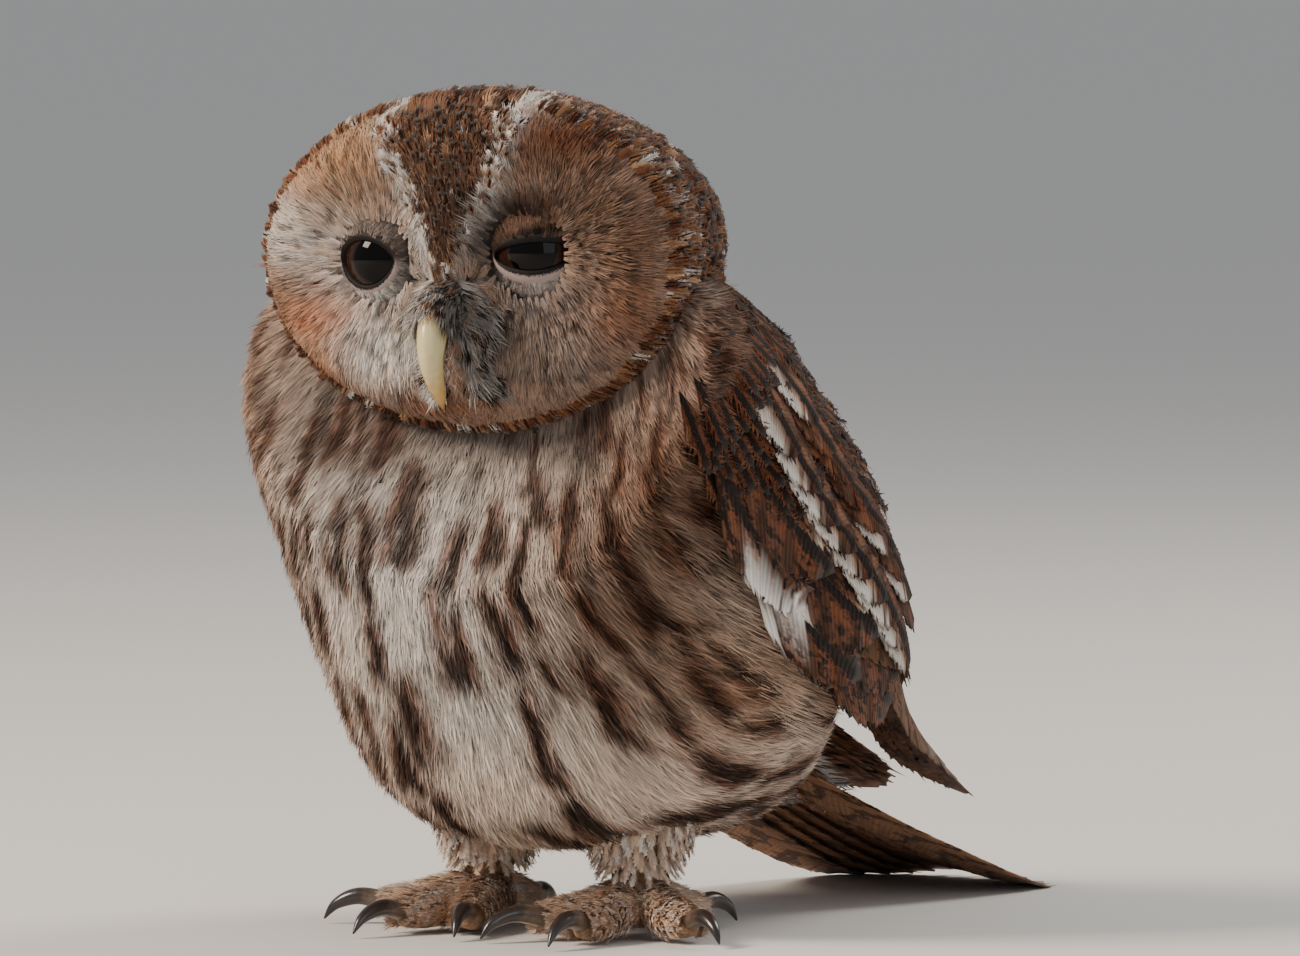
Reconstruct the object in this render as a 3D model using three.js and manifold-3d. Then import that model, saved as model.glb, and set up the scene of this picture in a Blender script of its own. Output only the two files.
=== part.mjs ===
// A tawny owl at life size, standing on a floor with its head turned a little to its left. Millimetres.
// +Z is up, the breast faces -Y, and the owl's own left side is +X. The floor is z = 0.
import * as THREE from "three";
import { mergeVertices } from "three/addons/utils/BufferGeometryUtils.js";
import Module from "manifold-3d";

const wasm = await Module();
wasm.setup();

// ---------- driving sizes ----------

const GAP = 0.35; // clearance between pieces that touch
const RADIANS = Math.PI / 180;

// The trunk from the top of the neck to the root of the tail, as rows of
// [back y, height z, half width, radius towards the back, radius towards the belly].
const TRUNK = [
  [-39, 194, 34, 36, 10],
  [-37, 174, 66, 59, 30],
  [-32, 152, 72, 66, 47],
  [-19, 129, 68, 68, 57],
  [0, 104, 68.5, 69, 64],
  [22, 82, 68.5, 68, 70],
  [46, 64, 60, 56, 47],
  [68, 52, 40, 33, 28],
  [84, 45, 17, 13, 13],
];
const TRUNK_TOP = 6; // the neck's rounded top over the first row
const TRUNK_END = [0, 92, 42];
const TRUNK_RINGS = 18;
const TRUNK_SIDES = 28;
const TRUNK_SQUARE = 0.85; // under 1 makes the sections a little fuller than ellipses
const NECK_CUT = [-28, 136]; // y and z of a point on the joint between neck and torso

// The head: its middle, the way it faces, and rows from face to nape of
// [how far forward, half width, radius up, radius down].
const HEAD_MIDDLE = new THREE.Vector3(0, -35, 187);
const HEAD_TURN = 13 * RADIANS; // towards the owl's left
const HEAD_NOD = 5 * RADIANS;
const HEAD_TILT = -3 * RADIANS; // the owl's left eye stands a little higher
const HEAD = [
  [24, 20, 16, 17],
  [22, 38, 29, 31],
  [17, 53, 39, 41],
  [6, 61, 43.5, 47],
  [-14, 63, 42, 50],
  [-36, 55, 32, 46],
  [-54, 35, 18, 30],
];
const HEAD_FRONT = 25;
const HEAD_BACK = -64;
const HEAD_RINGS = 16;
const HEAD_SIDES = 28;

// The facial disc: two shallow dishes round the eyes with a ridge between them.
const EYE_SIDE = 22; // from the middle plane to the eye's middle
const EYE_UP = 1;
const EYE_BALL = 11.5; // radius
const EYE_FORWARD = 13.5; // the eyeball's middle
const EYE_OUT = 17 * RADIANS; // how far each eye looks outwards
const DISH_DEEP = 6;
const DISH_WIDE = 22;
const RIDGE_HIGH = 9;
const RIDGE = [8, 4, 26]; // the ridge's reach to each side, how far its middle lies down, its reach up
const LID = 1.6; // thickness of the lids
// Each eye's opening: half width, and how far the upper and lower lids stand from its middle line.
const OPENING = { left: [9.6, 3.4, 5.6], right: [8.2, 5.2, 6.4] };

// The ruff: a rim of short feathers round the disc, left open over the brow.
const RUFF_COUNT = 19;
const RUFF_OPEN = 26 * RADIANS;
const RUFF_HALF = 9.2; // half width of one
const RUFF_FROM = 0.34; // roots and tips, as places along the head's rows
const RUFF_TO = 0.5;
const RUFF_DEEP = 2; // how deep the roots lie, and how far the tips stand off
const RUFF_OFF = 2.4;
const RUFF_SPLAY = [0.8, 0.6]; // a millimetre of height moves a tip this far out and this far forward
const RUFF_ROOM = 3.4; // what neck and breast leave free round the disc
const FACE_ROOM = [5, 9, 60, 65]; // that room's rings and points: behind the rim, and in front of it

// The bill: rows of [forward, up, half width, half height], root to tip, in the head's frame.
const BILL_UPPER = [
  [20, -11, 5.5, 7],
  [31, -12.5, 5, 6.2],
  [38, -16.5, 4.2, 5],
  [41, -23, 3.4, 3.9],
  [39.8, -29.5, 2.6, 2.9],
  [36.6, -35, 1.6, 1.8],
];
const BILL_UPPER_TIP = [34.5, -39];
const BILL_LOWER = [
  [18, -22, 4.6, 4],
  [27, -25, 3.7, 3],
  [32, -29, 2.5, 2.1],
];
const BILL_LOWER_TIP = [33.6, -33.5];
const NOSTRIL = [34, -15, 4.7]; // forward, up and to each side
const NOSTRIL_WIDE = 1.3; // radius
const NOSTRIL_SHAPE = [1.4, 1, 1.5];

// The bed that a folded wing and the tail's coverts lie on, shoulder to wing tip, as rows of
// [back y, height z, half width, radius up].
const BED = [
  [-33, 157, 71.5, 65],
  [-20, 131, 69, 68],
  [0, 104, 69, 69],
  [23, 82, 69, 68.5],
  [50, 65, 63, 59],
  [80, 51, 50, 43],
  [112, 38, 37, 26],
  [144, 26, 29, 17],
  [176, 16, 22, 11],
];
const WING_LOW = [2, -8, 2, 16, 30]; // angle of the lower edge at even steps along the wing, degrees
const WING_HIGH = [42, 66, 78, 82, 82]; // angle of the upper edge
const WING_BACK = [6, 10, 11, 7, 3]; // how high the feathers' tips stand over the bed
const WING_CORE = [3.5, 4.4, 4.4, 2.4, 1]; // how high the wing's own flesh stands over it
const CORE_TO = 0.64; // the flesh ends here along the wing
const CORE_SUNK = 3; // how far it reaches into the bed before it is cut clear
const CORE_CLEAR = 0.3; // past the body it stays this much over the bed
const CORE_CLEAR_FROM = 0.55;
const CORE_EDGE = 0.12; // the share of a half wave that is cut off each edge of its swelling
const CORE_RINGS = 10;
const CORE_SPANS = 5;
const VANE_THICK = 0.6;
const VANE_CREST = 0.25; // how far a vane's middle line stands above its edges
// A vane's outline: how far along, and its share of the half width.
const FLIGHT_VANE = [
  [0, 0.3],
  [0.28, 0.85],
  [0.54, 1],
  [0.8, 0.92],
  [0.95, 0.5],
];
const TAIL_VANE = [
  [0, 0.6],
  [0.5, 0.9],
  [0.85, 1],
  [0.96, 0.6],
];
const COVERT_VANE = [
  [0, 0.35],
  [0.5, 1],
  [0.9, 0.72],
];
const RUFF_VANE = [
  [0, 0.7],
  [0.7, 1],
];
const CRESTED = [-1, 0, 1]; // the lines along a flight feather's vane, as shares of its half width
const FLAT = [-1, 1]; // and along a covert's
// Each tier of wing feathers, from the one at the wing's lower edge up: count, then
// [how far along, angle] of the first root and tip and of the last root and tip.
// Then reach is how much further the middle ones go, half the half width, root how deep the roots lie,
// tip how high the tips, and lean how steeply a vane leans on the next.
const FLIGHT_TIERS = [
  { count: 5, first: [[0.52, 8], [0.83, 24]], last: [[0.52, 44], [0.96, 76]],
    reach: 0.09, half: 8, root: -7.5, tip: -0.5, lean: 0.2 },
  { count: 6, first: [[0.3, 4], [0.64, 22]], last: [[0.3, 74], [0.64, 85]],
    reach: 0.13, half: 10.5, root: -7.6, tip: 0, lean: 0.14 },
];
const COVERT_TIERS = [
  { count: 2, first: [[0.34, -2], [0.53, 3]], last: [[0.34, 8], [0.56, 15]],
    reach: 0, half: 7, root: -8, tip: -2.2, lean: 0.16 },
  { count: 6, first: [[0.2, -4], [0.43, 1]], last: [[0.22, 64], [0.47, 71]],
    reach: 0.02, half: 11.5, root: -7.6, tip: 0, lean: 0.1 },
  { count: 5, first: [[0.11, -3], [0.31, -1]], last: [[0.12, 50], [0.34, 64]],
    reach: 0.01, half: 13, root: -7.6, tip: 0, lean: 0.09 },
  { count: 5, first: [[0.05, 8], [0.2, 0]], last: [[0.04, 38], [0.22, 54]],
    reach: 0, half: 12, root: -7.6, tip: 0, lean: 0.09 },
  { count: 4, first: [[0.06, 44], [0.27, 60]], last: [[0.38, 74], [0.58, 80]],
    reach: 0, half: 10, root: -7.5, tip: 2, lean: 0.06 },
];

// The middle line of the tail's upper face, root to tip: [back y, height z].
const TAIL = [
  [60, 60],
  [84, 46],
  [112, 32.5],
  [144, 20.5],
  [178, 9.5],
  [208, 3.2],
];
const TAIL_SPREAD = [0.5, 0.62, 0.78, 0.92, 1, 1]; // how far the feathers lie apart, as a share
const TAIL_PAIRS = 6;
const TAIL_FIRST = 3; // from the middle plane to the first feather's middle line
const TAIL_PITCH = 5.8;
const TAIL_HALF = 10.5; // half width of a tail feather
const TAIL_DROP = 0.9; // each feather lies this much under the one inside it
const TAIL_SLOPE = 0.04;
const TAIL_FROM = 0.14;
const TAIL_TO = [1, 0.995, 0.985, 0.97, 0.95, 0.92];
const TAIL_SLIT = 0.3; // from the middle plane to the innermost edges
// The root of the tail under its coverts: half width, height above the middle line, depth below it.
const TAIL_CORE = [
  [15, 6, 9],
  [21, 3.5, 9],
  [22, 1.5, 7],
  [17, -1, 4.5],
];
const TAIL_CORE_TO = 0.42;
// The tail's coverts: middle lines, half width, and where they begin and end along the tail.
const TAIL_COVERTS = [-17, -8.5, 0, 8.5, 17];
const TAIL_COVERT_HALF = 7.5;
const TAIL_COVERT_FROM = 0.08;
const TAIL_COVERT_TO = 0.5;
const TAIL_COVERT_HIGH = [2.4, 0.8]; // height of root and tip
// What the wings leave free round the tail: to each side, above it, above its root, and below.
const TAIL_ROOM = { side: 4, above: 3.2, root: 4, below: 12, to: 1.02 };

// Legs and feet.
const LEG_SIDE = 25;
const LEG_BACK = 4;
const LEG = [
  // [side, back y, height z, half width, half depth]
  [24, 12, 64, 27, 36],
  [25, 8, 48, 23, 31],
  [25, 4, 31, 16, 19],
  [25, 3, 17, 11, 12],
];
const LEG_SOLE = 11;
const LEG_RINGS = 9;
const LEG_SIDES = 16;
const TOE_THICK = 6.4; // radius of a feathered toe
const FOOT_HEIGHT = 9;
// Each toe: [name, direction in degrees from straight ahead and outwards, length, claw length].
const TOES = [
  ["inner", -24, 33, 19],
  ["middle", 8, 37, 19],
  ["outer", 62, 31, 17],
  ["hind", 172, 23, 17],
];
// A toe's middle line as [share of its length, height], and its radii as shares of TOE_THICK.
const TOE_LINE = [
  [0, FOOT_HEIGHT],
  [0.35, TOE_THICK + 1.2],
  [0.72, TOE_THICK - 1],
  [1, TOE_THICK - 1.4],
];
const TOE_RADII = [1.25, 1.1, 1, 0.94, 0.72];
const TOE_SIDES = 7;
// The same for a claw, from the toe's end on.
const CLAW_THICK = 2.5; // radius
const CLAW_LINE = [
  [-0.11, 6.4],
  [0.35, 7.8],
  [0.72, 5.6],
  [0.92, 1.2],
];
const CLAW_RADII = [1.1, 1, 0.82, 0.58, 0.28];
const CLAW_SIDES = 5;

// ---------- helpers ----------

const owl = new THREE.Group();

function material(color, roughness, metalness = 0) {
  return new THREE.MeshStandardMaterial({ color, roughness, metalness });
}

const PLUMAGE = material(0x8a5f42, 0.9);
const PALE_PLUMAGE = material(0xb7a48f, 0.9);
const HORN = material(0xcdbb86, 0.35);
const CLAW = material(0x2d2724, 0.3);
const EYE = material(0x0d0806, 0.05);

// A value, or a row of values, read from evenly spaced rows by a smooth curve; t runs from 0 to 1.
function along(rows, t) {
  const place = THREE.MathUtils.clamp(t, 0, 1) * (rows.length - 1);
  const i = Math.min(Math.floor(place), rows.length - 2);
  const f = place - i;
  const row = (k) => rows[THREE.MathUtils.clamp(k, 0, rows.length - 1)];
  const [a, b, c, d] = [row(i - 1), row(i), row(i + 1), row(i + 2)];
  const blend = (p, q, r, s) =>
    q + 0.5 * f * (r - p + f * (2 * p - 5 * q + 4 * r - s + f * (3 * (q - r) + s - p)));
  return typeof b === "number" ? blend(a, b, c, d) : b.map((_, k) => blend(a[k], b[k], c[k], d[k]));
}

// A closed skin through rings of points, pinched to a point at both ends.
function skin(rings, first, last) {
  const sides = rings[0].length;
  const points = [first, ...rings.flat(), last];
  const faces = [];
  const at = (ring, side) => 1 + ring * sides + (side % sides);
  const end = points.length - 1;
  for (let k = 0; k < sides; k++) {
    faces.push(0, at(0, k + 1), at(0, k));
    faces.push(end, at(rings.length - 1, k), at(rings.length - 1, k + 1));
    for (let r = 0; r + 1 < rings.length; r++) {
      faces.push(at(r, k), at(r, k + 1), at(r + 1, k + 1));
      faces.push(at(r, k), at(r + 1, k + 1), at(r + 1, k));
    }
  }
  return new THREE.BufferGeometry().setFromPoints(points).setIndex(faces);
}

// A closed three.js geometry as a solid that can be joined and cut, turned outside out if need be.
function solid(geometry) {
  const bare = geometry.index ? geometry.toNonIndexed() : geometry;
  const shape = new THREE.BufferGeometry().setAttribute("position", bare.getAttribute("position"));
  const merged = mergeVertices(shape, 1e-4);
  const vertProperties = new Float32Array(merged.attributes.position.array);
  const build = (triVerts) =>
    new wasm.Manifold(new wasm.Mesh({ numProp: 3, vertProperties, triVerts }));
  const made = build(new Uint32Array(merged.index.array));
  return made.volume() > 0 ? made : build(new Uint32Array(merged.index.array).reverse());
}

// The largest closed surface of a solid, without loose scraps or sealed hollows.
function onePiece(shape) {
  return shape.decompose().reduce((most, next) => (next.volume() > most.volume() ? next : most));
}

function add(name, shape, look) {
  const mesh = onePiece(shape).getMesh();
  const points = new Float32Array(mesh.numVert * 3);
  for (let i = 0; i < mesh.numVert; i++) {
    points.set(mesh.vertProperties.subarray(i * mesh.numProp, i * mesh.numProp + 3), i * 3);
  }
  const geometry = new THREE.BufferGeometry()
    .setAttribute("position", new THREE.BufferAttribute(points, 3))
    .setIndex(new THREE.BufferAttribute(mesh.triVerts, 1));
  geometry.computeVertexNormals();
  const piece = new THREE.Mesh(geometry, look);
  piece.name = name;
  owl.add(piece);
}

function fuller(x, power) {
  return Math.sign(x) * Math.abs(x) ** power;
}

// ---------- the trunk: torso and neck ----------

// The frame of a section through rows whose first two values are y and z: its middle and its upward normal.
function section(rows, t) {
  const row = along(rows, t);
  const step = 0.01;
  const before = along(rows, Math.max(t - step, 0));
  const after = along(rows, Math.min(t + step, 1));
  const run = new THREE.Vector2(after[0] - before[0], after[1] - before[1]).normalize();
  return { row, y: row[0], z: row[1], normal: [-run.y, run.x] };
}

// The trunk's skin, moved outwards by grow.
function trunk(grow) {
  const rings = Array.from({ length: TRUNK_RINGS }, (_, r) => {
    const { row, y, z, normal } = section(TRUNK, r / (TRUNK_RINGS - 1));
    return Array.from({ length: TRUNK_SIDES }, (_, k) => {
      const angle = (2 * Math.PI * k) / TRUNK_SIDES;
      const across = (row[2] + grow) * fuller(Math.cos(angle), TRUNK_SQUARE);
      const radius = (Math.sin(angle) > 0 ? row[3] : row[4]) + grow;
      const rise = radius * fuller(Math.sin(angle), TRUNK_SQUARE);
      return new THREE.Vector3(across, y + normal[0] * rise, z + normal[1] * rise);
    });
  });
  const top = section(TRUNK, 0);
  const start = new THREE.Vector3(0, top.y, top.z + TRUNK_TOP + grow);
  const end = new THREE.Vector3(...TRUNK_END).add(new THREE.Vector3(0, grow, -grow));
  return solid(skin(rings, start, end));
}

// ---------- the head ----------

const headFrame = new THREE.Matrix4()
  .makeTranslation(HEAD_MIDDLE)
  .multiply(new THREE.Matrix4().makeRotationZ(HEAD_TURN))
  .multiply(new THREE.Matrix4().makeRotationX(HEAD_NOD))
  .multiply(new THREE.Matrix4().makeRotationY(HEAD_TILT));

// A point of the head from how far it is to the owl's left, forward and up.
function headPoint(side, forward, up) {
  return new THREE.Vector3(side, -forward, up).applyMatrix4(headFrame);
}

// How far the face's surface is pushed forward at a place on it: dishes round the eyes, a ridge between.
function faceRelief(side, up) {
  const dish = [-1, 1].reduce((sum, hand) => {
    const away = Math.hypot(side - hand * EYE_SIDE, up - EYE_UP);
    return sum - DISH_DEEP * Math.exp(-((away / DISH_WIDE) ** 2));
  }, 0);
  const [wide, lower, high] = RIDGE;
  return dish + RIDGE_HIGH * Math.exp(-((side / wide) ** 2) - ((up + lower) / high) ** 2);
}

function head(grow) {
  const rings = Array.from({ length: HEAD_RINGS }, (_, r) => {
    const [forward, wide, up, down] = along(HEAD, r / (HEAD_RINGS - 1));
    return Array.from({ length: HEAD_SIDES }, (_, k) => {
      const angle = (2 * Math.PI * k) / HEAD_SIDES;
      const side = (wide + grow) * Math.cos(angle);
      const high = ((Math.sin(angle) > 0 ? up : down) + grow) * Math.sin(angle);
      const facing = THREE.MathUtils.smoothstep(forward, 0, 18);
      return headPoint(side, forward + facing * (grow + faceRelief(side, high)), high);
    });
  });
  const start = headPoint(0, HEAD_FRONT + faceRelief(0, 0) + grow, 0);
  return solid(skin(rings, start, headPoint(0, HEAD_BACK - grow, 0)));
}

// Everything in front of the face and its ruff, which neck and breast stay clear of.
function faceRoom(grow) {
  const [forward, wide, up, down] = HEAD[3];
  const [rimBehind, endBehind, rimBefore, endBefore] = FACE_ROOM;
  const rings = [forward - rimBehind, forward + rimBefore].map((reach) =>
    Array.from({ length: HEAD_SIDES }, (_, k) => {
      const angle = (2 * Math.PI * k) / HEAD_SIDES;
      const radius = (Math.sin(angle) > 0 ? up : down) + RUFF_ROOM + grow;
      return headPoint((wide + RUFF_ROOM + grow) * Math.cos(angle), reach, radius * Math.sin(angle));
    }),
  );
  const start = headPoint(0, forward - endBehind - grow, 0);
  return solid(skin(rings, start, headPoint(0, forward + endBefore, 0)));
}

function ruff() {
  const [out, ahead] = RUFF_SPLAY;
  return Array.from({ length: RUFF_COUNT }, (_, k) => {
    const middle = Math.PI / 2 + RUFF_OPEN / 2 + ((2 * Math.PI - RUFF_OPEN) * (k + 0.5)) / RUFF_COUNT;
    const place = (u, c, lift) => {
      const [forward, wide, up, down] = along(HEAD, THREE.MathUtils.lerp(RUFF_FROM, RUFF_TO, u));
      const angle = middle + (2 * c) / (wide + up);
      const height = THREE.MathUtils.lerp(-RUFF_DEEP, RUFF_OFF, u) + lift;
      const side = (wide + out * height) * Math.cos(angle);
      const high = ((Math.sin(angle) > 0 ? up : down) + out * height) * Math.sin(angle);
      return headPoint(side, forward + ahead * height, high);
    };
    return vane(place, RUFF_HALF, RUFF_VANE, FLAT);
  });
}

function eyeMiddle(hand) {
  return headPoint(hand * EYE_SIDE, EYE_FORWARD, EYE_UP);
}

// An eye's own frame: its Z axis is the way the eye looks.
function eyeFrame(hand) {
  const look = headPoint(
    hand * (EYE_SIDE + Math.sin(EYE_OUT)),
    EYE_FORWARD + Math.cos(EYE_OUT),
    EYE_UP,
  ).sub(eyeMiddle(hand));
  const up = headPoint(0, 0, 1).sub(headPoint(0, 0, 0));
  const across = new THREE.Vector3().crossVectors(up, look).normalize();
  const rise = new THREE.Vector3().crossVectors(look, across).normalize();
  return new THREE.Matrix4().makeBasis(across, rise, look).setPosition(eyeMiddle(hand));
}

function ball(hand, radius, around = 16, down = 10) {
  const sphere = new THREE.SphereGeometry(radius, around, down).rotateX(Math.PI / 2);
  return solid(sphere.applyMatrix4(eyeFrame(hand)));
}

// The almond opening between the lids, as a short bar along the way the eye looks. A Bezier curve reaches
// three quarters of its handles' height.
function lidOpening(hand, [half, upper, lower]) {
  const handle = 0.6 * half;
  const [above, below] = [upper / 0.75, -lower / 0.75];
  const almond = new THREE.Shape()
    .moveTo(-half, 0)
    .bezierCurveTo(-handle, above, handle, above, half, 0)
    .bezierCurveTo(handle, below, -handle, below, -half, 0);
  const bar = new THREE.ExtrudeGeometry(almond, { depth: 20, bevelEnabled: false, curveSegments: 6 });
  return solid(bar.applyMatrix4(eyeFrame(hand)));
}

function buildHead() {
  const lids = [-1, 1].map((hand) => ball(hand, EYE_BALL + LID));
  const rim = wasm.Manifold.union(ruff()).subtract(trunk(GAP).subtract(faceRoom(-GAP)));
  let made = wasm.Manifold.union([head(0), rim, ...lids]);
  [1, -1].forEach((hand) => {
    made = made.subtract(ball(hand, EYE_BALL + GAP));
    made = made.subtract(lidOpening(hand, hand > 0 ? OPENING.left : OPENING.right));
  });
  return made;
}

// ---------- the bill ----------

// A horn that tapers along rows of [forward, up, half width, half height] in the head's middle plane.
function horn(rows, tip, grow, rings = 9, sides = 12) {
  const hoops = Array.from({ length: rings }, (_, r) => {
    const { row, y, z, normal } = section(rows, r / (rings - 1));
    return Array.from({ length: sides }, (_, k) => {
      const angle = (2 * Math.PI * k) / sides;
      const side = (row[2] + grow) * Math.cos(angle);
      const rise = (row[3] + grow) * Math.sin(angle);
      return headPoint(side, y + normal[0] * rise, z + normal[1] * rise);
    });
  });
  const [forward, up] = rows[0];
  return solid(skin(hoops, headPoint(0, forward - 4, up), headPoint(0, ...tip)));
}

function nostril(hand) {
  const [forward, up, side] = NOSTRIL;
  const dent = new THREE.SphereGeometry(NOSTRIL_WIDE, 6, 4).scale(...NOSTRIL_SHAPE);
  return solid(dent.translate(hand * side, -forward, up).applyMatrix4(headFrame));
}

// ---------- the folded wings ----------

// A point over the bed: t along it, angle round it (0 at the side, 90 degrees on top), height above it.
function bedPoint(hand, t, angle, height) {
  const { row, y, z, normal } = section(BED, t);
  const across = (row[2] + height) * fuller(Math.cos(angle), TRUNK_SQUARE);
  const rise = (row[3] + height) * fuller(Math.sin(angle), TRUNK_SQUARE);
  return new THREE.Vector3(hand * across, y + normal[0] * rise, z + normal[1] * rise);
}

// The wing's own flesh, from the shoulder to where only feathers go on.
function wingCore(hand) {
  const rings = Array.from({ length: CORE_RINGS }, (_, r) => {
    const t = (CORE_TO * r) / (CORE_RINGS - 1);
    const low = along(WING_LOW, t) * RADIANS;
    const high = along(WING_HIGH, t) * RADIANS;
    const thick = along(WING_CORE, t);
    const row = (height, turn) =>
      Array.from({ length: CORE_SPANS + 1 }, (_, k) => {
        const f = turn ? 1 - k / CORE_SPANS : k / CORE_SPANS;
        const swell = Math.sin(Math.PI * THREE.MathUtils.lerp(CORE_EDGE, 1 - CORE_EDGE, f)) ** 0.6;
        return bedPoint(hand, t, THREE.MathUtils.lerp(low, high, f), turn ? height : height * swell);
      });
    return [...row(thick, false), ...row(t < CORE_CLEAR_FROM ? -CORE_SUNK : CORE_CLEAR, true)];
  });
  const middle = (t) => 0.5 * (along(WING_LOW, t) + along(WING_HIGH, t)) * RADIANS;
  const front = bedPoint(hand, 0, middle(0), 0).add(new THREE.Vector3(0, -4, 4));
  const rear = bedPoint(hand, CORE_TO + 0.02, middle(CORE_TO), 2);
  return solid(skin(rings, front, rear));
}

// A feather's vane, split alike on both faces. place gives a point from how far along it is,
// how many millimetres across and how high; folds are the lines along it, as shares of the half width.
function vane(place, half, outline, folds) {
  const points = [];
  for (const [u, share] of outline) {
    for (const lift of [0, VANE_THICK]) {
      for (const c of folds) {
        points.push(place(u, c * share * half, lift + (c === 0 ? VANE_CREST : 0)));
      }
    }
  }
  points.push(place(1, 0, VANE_CREST + VANE_THICK / 2));
  const faces = [];
  const count = folds.length;
  const last = outline.length - 1;
  const tip = points.length - 1;
  const at = (i, j, top) => count * (2 * i + top) + j;
  const wall = (a, b, c, d) => faces.push(a, b, c, a, c, d);
  for (let j = 0; j + 1 < count; j++) {
    for (const top of [0, 1]) {
      const sheet = (a, b, c) => faces.push(...(top ? [a, b, c] : [a, c, b]));
      for (let i = 0; i < last; i++) {
        sheet(at(i, j, top), at(i, j + 1, top), at(i + 1, j + 1, top));
        sheet(at(i, j, top), at(i + 1, j + 1, top), at(i + 1, j, top));
      }
      sheet(at(last, j, top), at(last, j + 1, top), tip);
    }
    wall(at(0, j, 0), at(0, j + 1, 0), at(0, j + 1, 1), at(0, j, 1));
  }
  const edge = count - 1;
  for (let i = 0; i < last; i++) {
    wall(at(i + 1, 0, 0), at(i, 0, 0), at(i, 0, 1), at(i + 1, 0, 1));
    wall(at(i, edge, 0), at(i + 1, edge, 0), at(i + 1, edge, 1), at(i, edge, 1));
  }
  faces.push(at(last, 0, 0), at(last, 0, 1), tip, at(last, edge, 1), at(last, edge, 0), tip);
  return solid(new THREE.BufferGeometry().setFromPoints(points).setIndex(faces));
}

function wingTier(hand, { count, first, last, reach, half, root, tip, lean }, outline, folds) {
  const { lerp } = THREE.MathUtils;
  return Array.from({ length: count }, (_, k) => {
    const f = k / (count - 1);
    const [from, to] = [0, 1].map((end) => [0, 1].map((i) => lerp(first[end][i], last[end][i], f)));
    const further = reach * Math.sin(Math.PI * f);
    const place = (u, c, lift) => {
      const t = lerp(from[0], to[0] + further, u);
      const angle = lerp(from[1], to[1], u) * RADIANS;
      const row = along(BED, t);
      const height = along(WING_BACK, t) + lerp(root, tip, u) - lean * c + lift;
      return bedPoint(hand, t, angle + (2 * c) / (row[2] + row[3]), height);
    };
    return vane(place, half, outline, folds);
  });
}

function wing(hand) {
  const flight = FLIGHT_TIERS.flatMap((tier) => wingTier(hand, tier, FLIGHT_VANE, CRESTED));
  const coverts = COVERT_TIERS.flatMap((tier) => wingTier(hand, tier, COVERT_VANE, FLAT));
  return wasm.Manifold.union([wingCore(hand), ...flight, ...coverts]);
}

// ---------- the tail ----------

// A point over the tail's middle line: t along it, across to the owl's left, height above it.
function tailPoint(t, across, height) {
  const { y, z, normal } = section(TAIL, t);
  return new THREE.Vector3(across, y + normal[0] * height, z + normal[1] * height);
}

// A smooth loft along the tail: size gives half width, height above and depth below at each place.
function tailLoft(to, rings, size) {
  const hoops = Array.from({ length: rings }, (_, r) => {
    const t = (to * r) / (rings - 1);
    const [wide, up, down] = size(t);
    return Array.from({ length: 16 }, (_, k) => {
      const angle = (Math.PI * k) / 8;
      const high = (Math.sin(angle) * (up + down)) / 2;
      return tailPoint(t, wide * fuller(Math.cos(angle), 0.8), (up - down) / 2 + high);
    });
  });
  const [, up, down] = size(to);
  return solid(skin(hoops, tailPoint(0, 0, -2), tailPoint(to + 0.02, 0, (up - down) / 2)));
}

function tailFeather(hand, k) {
  const place = (u, c, lift) => {
    const t = THREE.MathUtils.lerp(TAIL_FROM, TAIL_TO[k], u);
    const across = Math.max((TAIL_FIRST + TAIL_PITCH * k) * along(TAIL_SPREAD, t) + c, TAIL_SLIT);
    return tailPoint(t, hand * across, lift - TAIL_DROP * k - TAIL_SLOPE * across);
  };
  return vane(place, TAIL_HALF, TAIL_VANE, CRESTED);
}

function tailCovert(middle, k) {
  const away = Math.abs(middle);
  const end = TAIL_COVERT_TO - 0.004 * away; // the outer ones are a little shorter, lower and spread more
  const drop = 0.06 * away + (k % 2) * 0.4;
  const place = (u, c, lift) => {
    const t = THREE.MathUtils.lerp(TAIL_COVERT_FROM, end, u);
    const height = THREE.MathUtils.lerp(...TAIL_COVERT_HIGH, u) - drop + lift;
    return tailPoint(t, middle * (0.8 + 0.3 * u) + c, height);
  };
  return vane(place, TAIL_COVERT_HALF, COVERT_VANE, FLAT);
}

function tail() {
  const core = tailLoft(TAIL_CORE_TO, 6, (t) => along(TAIL_CORE, t / TAIL_CORE_TO));
  const half = (hand) => Array.from({ length: TAIL_PAIRS }, (_, k) => tailFeather(hand, k));
  return wasm.Manifold.union([core, ...half(1), ...half(-1), ...TAIL_COVERTS.map(tailCovert)]);
}

// The room that the wings leave for the tail.
function tailRoom() {
  const { side, above, root, below, to } = TAIL_ROOM;
  return tailLoft(to, 10, (t) => {
    const wide = TAIL_HALF + (TAIL_FIRST + TAIL_PITCH * (TAIL_PAIRS - 1)) * along(TAIL_SPREAD, t);
    return [wide + side, above + root * (1 - THREE.MathUtils.smoothstep(t, 0, 0.5)), below];
  });
}

// ---------- legs, feet and claws ----------

function leg(hand, grow) {
  const rings = Array.from({ length: LEG_RINGS }, (_, r) => {
    const [side, back, up, wide, deep] = along(LEG, r / (LEG_RINGS - 1));
    return Array.from({ length: LEG_SIDES }, (_, k) => {
      const angle = (2 * Math.PI * k) / LEG_SIDES;
      return new THREE.Vector3(
        hand * (side + (wide + grow) * Math.cos(angle)),
        back + (deep + grow) * Math.sin(angle),
        up,
      );
    });
  });
  const top = new THREE.Vector3(hand * LEG[0][0], LEG[0][1], LEG[0][2] + 4);
  return solid(skin(rings, top, new THREE.Vector3(hand * LEG_SIDE, LEG_BACK, LEG_SOLE - grow)));
}

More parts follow.
